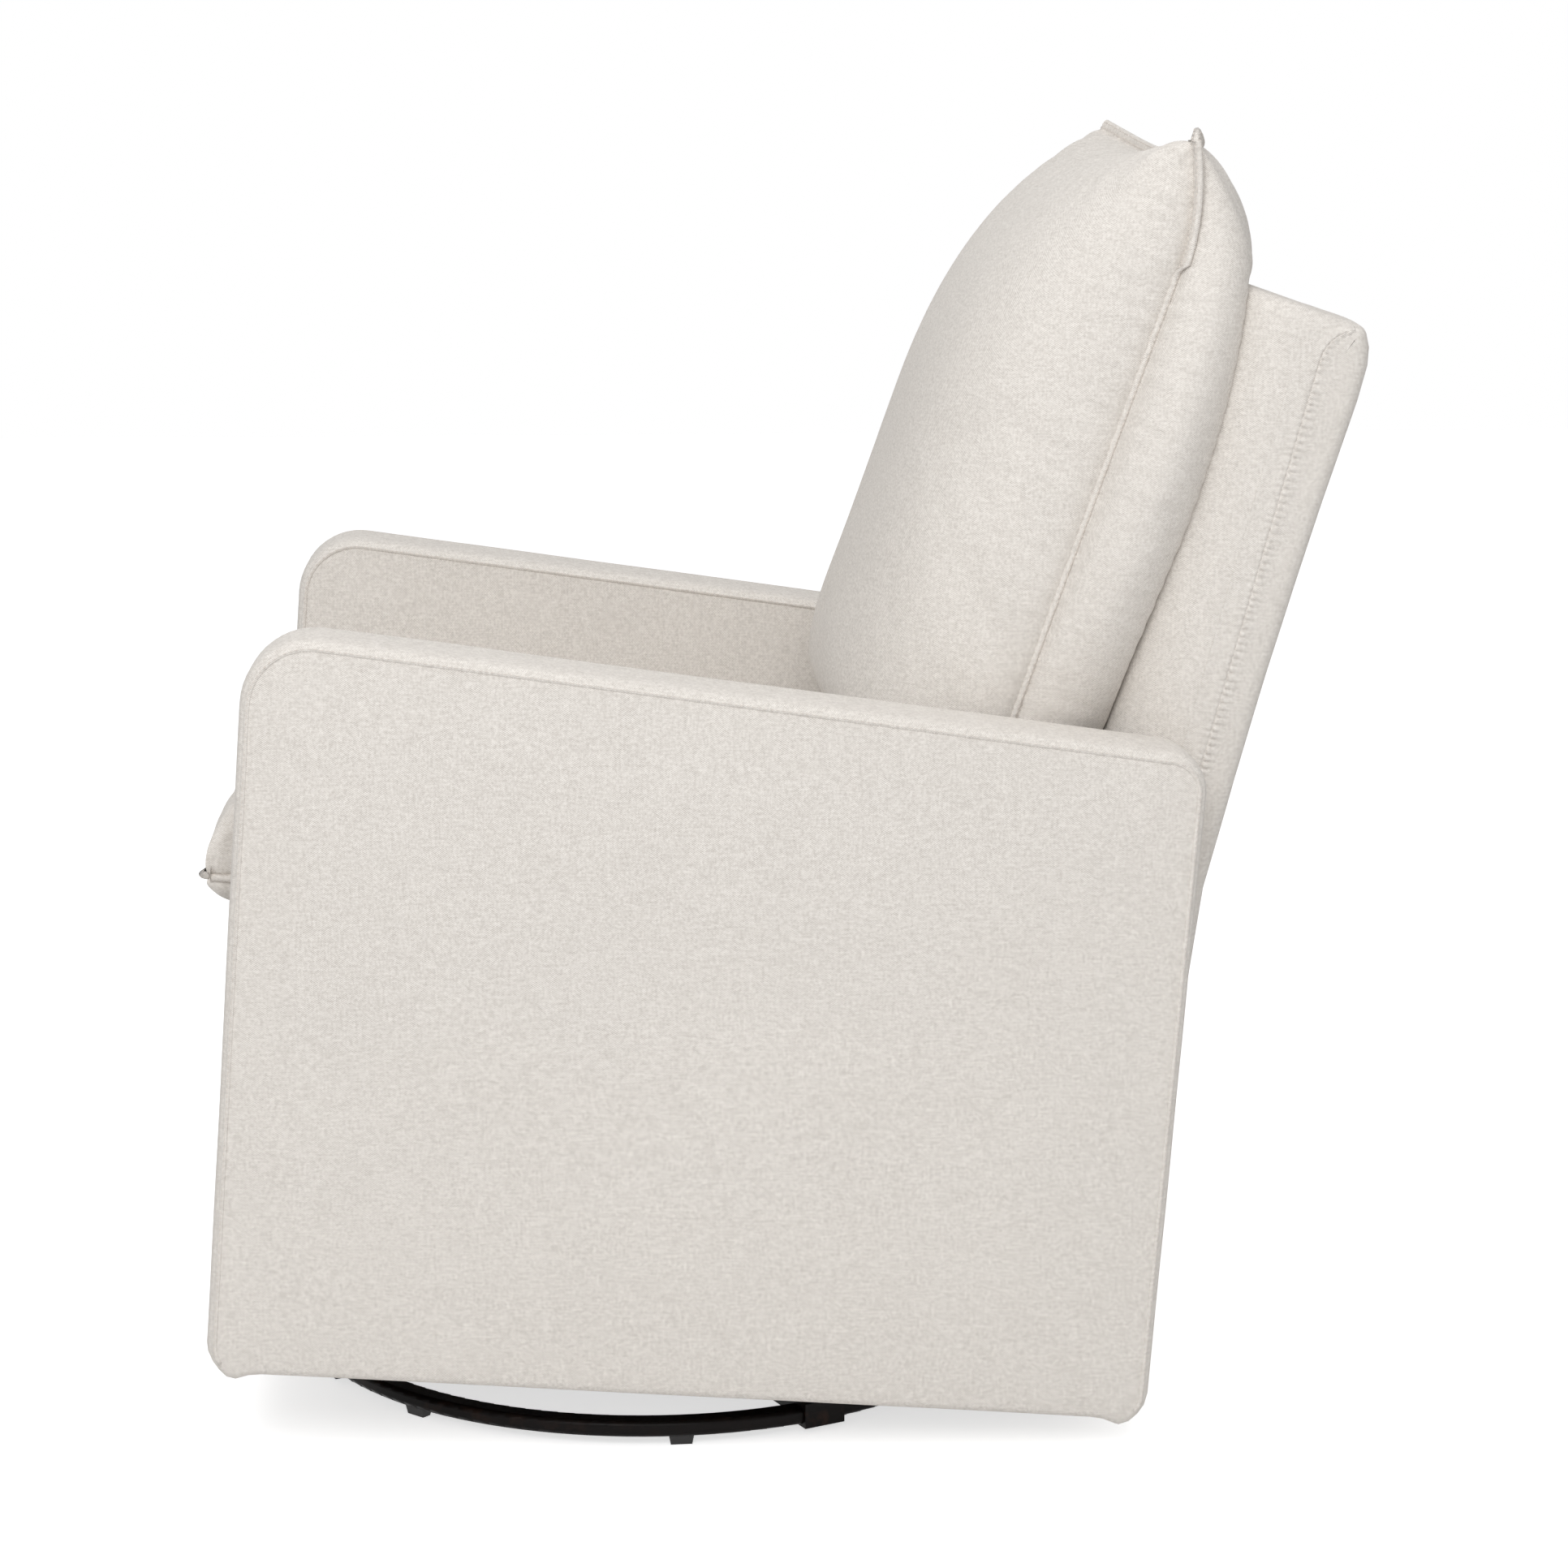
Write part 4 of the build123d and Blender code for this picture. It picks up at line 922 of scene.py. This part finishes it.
deck_rear = back_front(DECK_BOTTOM) - DECK_GAP
deck_outline = box(deck_rear, FRAME_FRONT + DECK_GAP, DECK_BOTTOM, DECK_TOP)
deck_slab = (deck_outline, (0.0, 0.005, 0.005, 0.0), -BACK_HALF, BACK_HALF, PANEL_RIM)
deck = padded_slab("deck_pad", deck_slab, DECK_CELL)
dress(deck, "deck_cloth", "seat_deck", slot="deck_cloth")

underside = primitive(bpy.ops.mesh.primitive_grid_add, x_subdivisions=36, y_subdivisions=52, size=2)
underside.name = "underside_cloth"
dust_front = FRAME_FRONT + WOOD
for vertex in underside.data.vertices:
    p, q = vertex.co.x, vertex.co.y
    sag = DUST_SAG * (1 - p * p) * (1 - q * q)
    depth = dust_front + (q + 1) / 2 * (DUST_REAR - dust_front)
    vertex.co = (p * DUST_HALF, depth, FRAME_BOTTOM - DUST_THICKNESS - sag)
dress(underside, "black_cloth", "dust_cover", slot="black_cloth")
print("Underside cloth cut in mm:", round(2000 * DUST_HALF), round(1000 * (DUST_REAR - dust_front)))

# %% [markdown]
# The seat cushion and the back pillow are stuffed bags: two panels sewn together in a flat flange, blown up
# by their filling. Two grids are joined along their border and shaped into their crown. Blender's cloth
# solver then presses the cloth outwards while the seam is held. Only the creases that this makes are kept.

# %% Stuffed bags
SIM_FRAMES = 20
SIM_CAP = 0.0016
SIM_SHARE = 0.4
SWELL_ROUNDS = 24
SEAM_CALM = 0.05
CLOTH = {
    "quality": 6,
    "mass": 0.3,
    "tension_stiffness": 20,
    "compression_stiffness": 20,
    "shear_stiffness": 5,
    "bending_stiffness": 0.5,
    "use_pressure": True,
    "uniform_pressure_force": 4.0,
    "vertex_group_mass": "seam",
    "shrink_min": -0.01,
}
CROWN_POWER = 3.0
ON_SEAM = 0.9999
SEWN_TOGETHER = 1e-5
GATHER_DRIFT = 5
GATHER_SCALE = 14
TOP_PITCH = 0.031
SIDE_PITCH = 0.017


def rounded(share, power):
    """Place and height on a rounded section, from one seam at -1 over the middle at 0 to the other at 1."""
    angle = (1 - abs(share)) * pi / 2
    size = (cos(angle) ** power + sin(angle) ** power) ** (1 / power)
    place = cos(angle) / size
    return (place if share > 0 else -place), sin(angle) / size


def bag(name, across, along, shape):
    """Two grids joined along their border; shape gives a point from -1..1 twice and the side, 1 or -1."""
    grid = bpy.ops.mesh.primitive_grid_add
    piece = primitive(grid, x_subdivisions=across, y_subdivisions=along, size=2)
    piece.name = name
    bpy.ops.object.mode_set(mode="EDIT")
    bpy.ops.mesh.select_all(action="SELECT")
    bpy.ops.mesh.duplicate()
    bpy.ops.mesh.flip_normals()
    bpy.ops.object.mode_set(mode="OBJECT")
    half = len(piece.data.vertices) // 2
    seam = []
    for vertex in piece.data.vertices:
        p, q = vertex.co.x, vertex.co.y
        if max(abs(p), abs(q)) > ON_SEAM:
            seam.append(vertex.index)
        vertex.co = shape(p, q, 1 if vertex.index < half else -1)
    piece.vertex_groups.new(name="seam").add(seam, 1.0, "REPLACE")
    bpy.ops.object.mode_set(mode="EDIT")
    bpy.ops.mesh.select_all(action="SELECT")
    bpy.ops.mesh.remove_doubles(threshold=SEWN_TOGETHER)
    bpy.ops.mesh.normals_make_consistent(inside=False)
    bpy.ops.object.mode_set(mode="OBJECT")
    return piece


def coords(piece):
    """Points of a mesh as an array."""
    flat = np.empty(3 * len(piece.data.vertices))
    piece.data.vertices.foreach_get("co", flat)
    return flat.reshape(-1, 3)


def set_coords(piece, points):
    """Write an array of points back into a mesh."""
    piece.data.vertices.foreach_set("co", points.ravel())
    piece.data.update()


def averaged(values, edges, rounds):
    """Values smoothed over the neighbours of each point."""
    first, second = edges[:, 0], edges[:, 1]
    count = len(values)
    degree = np.bincount(first, minlength=count) + np.bincount(second, minlength=count)
    for _ in range(rounds):
        total = np.stack([
            np.bincount(first, values[second, k], count) + np.bincount(second, values[first, k], count)
            for k in range(3)
        ], axis=1)
        values = (values + total) / (1 + degree)[:, None]
    return values


def inflate(piece):
    """Blow a bag up with its seam held, and keep the creases that this makes on the bag's own form."""
    before = coords(piece)
    only(piece)
    cloth = piece.modifiers.new("filling_pressure", "CLOTH")
    for key, value in CLOTH.items():
        setattr(cloth.settings, key, value)
    cloth.settings.effector_weights.gravity = 0
    for number in range(1, SIM_FRAMES + 1):
        scene.frame_set(number)
    bpy.ops.object.modifier_apply(modifier=cloth.name)
    scene.frame_set(1)
    edges = np.array([tuple(e.vertices) for e in piece.data.edges])
    move = coords(piece) - before
    calm = np.minimum(1, np.abs(before[:, 2:]) / SEAM_CALM)
    crease = (move - averaged(move, edges, SWELL_ROUNDS)) * SIM_SHARE * calm
    far = np.linalg.norm(crease, axis=1, keepdims=True)
    set_coords(piece, before + crease * np.minimum(1, SIM_CAP / np.maximum(far, 1e-9)))
    print(piece.name, "crease in mm: mean", round(1000 * far.mean(), 2), "most", round(1000 * far.max(), 1))


FLANGE_UPPER = (
    (-0.0030, 0.0034), (0.0002, 0.0021), (0.0018, 0.0025),
    (0.0048, 0.0026), (0.0064, 0.0025), (0.0080, 0.0019),
)
FLANGE_LOWER = [(reach, -rise) for reach, rise in reversed(FLANGE_UPPER)]
FLANGE_SECTION = (*FLANGE_UPPER, (0.0088, 0.0), *FLANGE_LOWER)
FLANGE_STITCHES = ((0.0024, 1), (0.0024, -1), (0.0066, 1), (0.0066, -1))
FLANGE_LIFT = 0.0026
FLANGE_PUCKER = 0.16
PUCKER_STEP = 0.9
FLANGE_STEPS = 90


def seam_loop(shape, trim):
    """Seam of a bag as a loop of points with outward and upward directions; trim gives width and turn."""
    marks = [-1 + 2 * k / FLANGE_STEPS for k in range(FLANGE_STEPS)]
    square = [(m, -1) for m in marks] + [(1, m) for m in marks]
    square += [(-m, 1) for m in marks] + [(-1, -m) for m in marks]
    points = [Vector(shape(p, q, 1)) for p, q in square]
    loop = []
    for k, (p, q) in enumerate(square):
        along = (points[(k + 1) % len(points)] - points[k - 1]).normalized()
        out = Vector((along.y, -along.x, 0)).normalized()
        width, turn = trim(p, q)
        out = (out * cos(turn) - Vector((0, 0, 1)) * sin(turn)).normalized()
        up = out.cross(along).normalized()
        if up.z < 0:
            up = -up
        loop.append((points[k], out * width, up))
    return loop


def flange(name, loop, thread_name, matrix):
    """Flat sewn edge round a bag, with its rows of stitches."""
    points, faces = [], []
    count = len(FLANGE_SECTION)
    for k, (point, out, up) in enumerate(loop):
        pucker = 1 + FLANGE_PUCKER * noise.noise(Vector((k * PUCKER_STEP, len(loop), 0)))
        points += [point + out * reach + up * (rise * pucker) for reach, rise in FLANGE_SECTION]
    total = len(loop)
    for k in range(total):
        after = (k + 1) % total
        for s in range(count):
            other = (s + 1) % count
            faces.append((k * count + s, after * count + s, after * count + other, k * count + other))
    edge = joined_mesh(name, points, faces)
    only(edge)
    bpy.ops.object.mode_set(mode="EDIT")
    bpy.ops.mesh.select_all(action="SELECT")
    bpy.ops.mesh.normals_make_consistent(inside=False)
    bpy.ops.object.mode_set(mode="OBJECT")
    rows = []
    closed = loop + loop[:1]
    for reach, face in FLANGE_STITCHES:
        rows.append((
            [p + o * reach + u * (face * FLANGE_LIFT) for p, o, u in closed],
            [u * face for p, o, u in closed],
        ))
    thread = stitch_piece(thread_name, rows)
    dress(edge, "oatmeal_cloth", matrix=matrix)
    dress(thread, "sewing_thread", matrix=matrix)


def gather(piece, half_wide, half_tall, top, sides, top_reach, side_reach):
    """Fine gathers that run in from the seam and fade into the panel."""
    only(piece)
    piece.data.update()
    points = coords(piece)
    normals = np.array([tuple(v.normal) for v in piece.data.vertices])
    lift = np.zeros(len(points))
    for k, (x, y, z) in enumerate(points):
        from_top = max(0.0, half_tall - y)
        from_side = max(0.0, half_wide - abs(x))
        drift = GATHER_DRIFT * noise.noise(Vector((x, y, z)) * GATHER_SCALE)
        lift[k] = top * exp(-from_top / top_reach) * sin(2 * pi * x / TOP_PITCH + drift)
        lift[k] += sides * exp(-from_side / side_reach) * sin(2 * pi * y / SIDE_PITCH + drift)
    set_coords(piece, points + normals * lift[:, None])


def sew_bag(piece, name, halves, gathers, shape, trim, matrix, *replaced):
    """Smooth a bag, gather it along its seam, dress it and sew its flange on."""
    only(piece)
    finer = piece.modifiers.new("finer", "SUBSURF")
    finer.levels = 1
    finer.render_levels = 1
    bpy.ops.object.modifier_apply(modifier=finer.name)
    gather(piece, *halves, *gathers)
    dress(piece, "oatmeal_cloth", *replaced, matrix=matrix)
    flange(name + "_flange", seam_loop(shape, trim), name + "_thread", matrix)
    print(name, "faces:", len(piece.data.polygons))


print("Points round a flange:", len(FLANGE_SECTION))

# %% [markdown]
# The seat cushion fills the space between the arms and stands a little proud of them in front, where the
# ears of its flange show beside the arm.

# %% Seat cushion
CUSHION_FRONT = -0.390
CUSHION_REAR = 0.28036
CUSHION_SEAM = 0.4304
CUSHION_HALF_WIDTH = 0.2595
CUSHION_UPPER = 0.080
CUSHION_LOWER = 0.0518
CUSHION_TOP_POWER = 6.0
CUSHION_FOOT_POWER = 3.5
CUSHION_DRAW = 0.008
FOOT_FLATTER = 1.1
BULGE_POWER = 5
CUSHION_CELLS = (84, 100)
CUSHION_GATHERS = (0.0006, 0.0006, 0.02, 0.02)
CUSHION_TRIM = 0.75
EAR_POWER = 14
EAR_WIDER = 0.7
EAR_TURN = -0.35
CUSHION_BULGE = 0.006
VALLEY = 0.06
FLANGE_WIDTH = 0.009

cushion_half_length = (CUSHION_REAR - CUSHION_FRONT) / 2
cushion_middle = (CUSHION_REAR + CUSHION_FRONT) / 2
seam_half_width = CUSHION_HALF_WIDTH - FLANGE_WIDTH
seam_half_length = cushion_half_length - FLANGE_WIDTH


def cushion_shape(s, t, face):
    """Point of the cushion, flat below and crowned above."""
    power = CUSHION_TOP_POWER if face > 0 else CUSHION_FOOT_POWER
    p, across = rounded(s, power)
    q, along = rounded(t, power)
    x = p * (seam_half_width - CUSHION_DRAW * (1 - q * q))
    y = q * (seam_half_length - CUSHION_DRAW * (1 - p * p))
    high = across * along
    valley = CUSHION_BULGE * (1 - exp(-high / VALLEY)) * (1 - high)
    x += valley * p**BULGE_POWER
    y += valley * q**BULGE_POWER
    rise = CUSHION_UPPER if face > 0 else -CUSHION_LOWER * FOOT_FLATTER
    return x, y, max(rise * high, -CUSHION_LOWER)


def cushion_trim(p, q):
    """Width and turn of the cushion's flange: its corners stand up as broad ears."""
    ear = abs(p * q) ** EAR_POWER
    return CUSHION_TRIM + EAR_WIDER * ear, EAR_TURN * ear


CUSHION_TO_ROOM = TO_ROOM @ Matrix.Translation((0, cushion_middle, CUSHION_SEAM))
cushion = bag("seat_cushion_bag", *CUSHION_CELLS, cushion_shape)
inflate(cushion)
points = coords(cushion)
points[:, 2] = np.maximum(points[:, 2], -CUSHION_LOWER)
points[:, 0] = np.clip(points[:, 0], -CUSHION_HALF_WIDTH, CUSHION_HALF_WIDTH)
set_coords(cushion, points)
sew_bag(
    cushion, "seat_cushion", (seam_half_width, seam_half_length), CUSHION_GATHERS,
    cushion_shape, cushion_trim, CUSHION_TO_ROOM, "seat_cushion", "seat_foam",
)

# %% [markdown]
# The pillow leans on the back and sits on the cushion. It is round in front, flat where it leans, and its
# two upper corners stand up as soft ears with the top seam sagging between them.

# %% Back pillow
PILLOW_HALF_WIDTH = 0.252
PILLOW_HALF_HEIGHT = 0.276
PILLOW_LEAN = radians(15.3)
PILLOW_LIFT = 0.008
PILLOW_FRONT = 0.150
PILLOW_REAR = 0.096
PILLOW_SINK = 0.0545
PILLOW_DRAW = 0.004
PILLOW_SADDLE = 0.014
PILLOW_BULGE = 0.011
PILLOW_TOP_POWER = 2.2
PILLOW_FOOT_POWER = 12.0
PILLOW_REAR_POWER = 5.0
REAR_TOP_POWER = 2.0
REAR_FOOT_POWER = 3.0
REAR_SPREAD = 0.034
EDGE_FREE = 0.225
EDGE_BLEND = 0.020
SEAM_FORWARD = 0.006
EAR_STEP = 0.66
EAR_BEND = 0.026
EAR_REACH = 0.10
EAR_SPAN = 0.25
EAR_FLAT = 0.8
REAR_MIDDLE = 0.1
REAR_HALF = 0.95
REAR_FALL = 1.6
REAR_LOBE = 0.8
TOP_TRIM = (1.15, 0.0)
EAR_TRIM = (1.4, 0.2)
SIDE_TRIM = (0.72, -0.7)
FOOT_TRIM = (0.72, 0.0)
PILLOW_CELLS = (84, 92)
PILLOW_GATHERS = (0.0012, 0.0004, 0.05, 0.010)
RESTING_GAP = 0.001
HELD_PAST = 0.03
HELD_BLEND = 0.05
CUSHION_TOP = CUSHION_SEAM + CUSHION_UPPER

pillow_reach = BACK_THICKNESS + PILLOW_SINK
pillow_rise = CUSHION_TOP + PILLOW_LIFT + PILLOW_HALF_HEIGHT * cos(PILLOW_LEAN)
pillow_along = (pillow_rise - KNEE[1] - pillow_reach * sin(BACK_LEAN)) / cos(BACK_LEAN)
pillow_centre = back_point(pillow_along, -pillow_reach)
pillow_seam_width = PILLOW_HALF_WIDTH - FLANGE_WIDTH
pillow_seam_height = PILLOW_HALF_HEIGHT - FLANGE_WIDTH


def pillow_shape(s, t, face):
    """Point of the pillow: sloping at the top, full down to the seat, its upper corners bent forwards."""
    p, across = rounded(s, CROWN_POWER)
    q, along = rounded(t, PILLOW_TOP_POWER if t > 0 else PILLOW_FOOT_POWER)
    if face < 0:
        rear_p, rear_across = rounded(s, PILLOW_REAR_POWER)
        rear_q, rear_along = rounded(t, REAR_TOP_POWER if t > 0 else REAR_FOOT_POWER)
        p += (rear_p - p) * rear_along
        q += (rear_q - q) * rear_across
        across, along = rear_across, rear_along
    x = p * (pillow_seam_width - PILLOW_DRAW * (1 - q * q))
    y = q * (pillow_seam_height - (PILLOW_SADDLE if q > 0 else PILLOW_DRAW) * (1 - p * p))
    high = across * along
    valley = PILLOW_BULGE * (1 - exp(-high / VALLEY)) * (1 - high)
    ear = max(0.0, min(1.0, (q - EAR_STEP) / EAR_SPAN))
    near_top = max(0.0, 1 - (pillow_seam_height - y) / EAR_REACH)
    x += valley * p**BULGE_POWER * (1 - EAR_FLAT * ear)
    if face < 0:
        middle = max(0.0, 1 - ((q - REAR_MIDDLE) / REAR_HALF) ** 2) ** REAR_FALL
        x += REAR_SPREAD * middle * abs(p) ** 4 * p * sin(pi * min(1.0, high) ** REAR_LOBE)
    y += valley * min(q, 0.0) ** BULGE_POWER
    rise = PILLOW_FRONT if face > 0 else -PILLOW_REAR
    return x, y, rise * high + SEAM_FORWARD * (1 - high) + EAR_BEND * near_top**2 * abs(p) ** 3


def pillow_trim(s, t):
    """Width and turn of the pillow's flange: standing at the top, narrow and folded down the sides."""
    q = rounded(t, PILLOW_TOP_POWER)[0] if t > 0 else 0.0
    if t == 1:
        return TOP_TRIM
    if abs(s) == 1 and q > EAR_STEP:
        return EAR_TRIM
    return SIDE_TRIM if abs(s) == 1 else FOOT_TRIM


# Local axes of the pillow: across the chair, up along its lean, and forwards out of it
PILLOW_TO_ROOM = (
    TO_ROOM
    @ Matrix.Translation((0, *pillow_centre))
    @ Matrix.Rotation(pi / 2 - PILLOW_LEAN, 4, "X")
)
pillow = bag("back_pillow_bag", *PILLOW_CELLS, pillow_shape)
inflate(pillow)
points = coords(pillow)
to_body = TO_ROOM.inverted() @ PILLOW_TO_ROOM
turn = np.array(to_body.to_3x3())
shift = np.array(to_body.translation)
in_body = points @ turn.T + shift
across_back = np.array((0, -cos(BACK_LEAN), sin(BACK_LEAN)))
back_face = np.array((0, *back_point(0, -BACK_THICKNESS - RESTING_GAP)))
behind = np.minimum(0, (in_body - back_face) @ across_back)
up_back = np.array((0, sin(BACK_LEAN), cos(BACK_LEAN)))
climb = (in_body - np.array((0, *KNEE))) @ up_back
held = np.clip((EDGE_FREE + EDGE_BLEND - np.abs(in_body[:, 0])) / EDGE_BLEND, 0, 1)
held *= np.clip((BACK_LENGTH + HELD_PAST - climb) / HELD_BLEND, 0, 1)
in_body -= (behind * held)[:, None] * across_back
in_body[:, 2] = np.maximum(in_body[:, 2], CUSHION_TOP + RESTING_GAP)
set_coords(pillow, (in_body - shift) @ turn)
sew_bag(
    pillow, "back_pillow", (pillow_seam_width, pillow_seam_height), PILLOW_GATHERS,
    pillow_shape, pillow_trim, PILLOW_TO_ROOM, "back_pillow", "pillow_fill",
)

# %% [markdown]
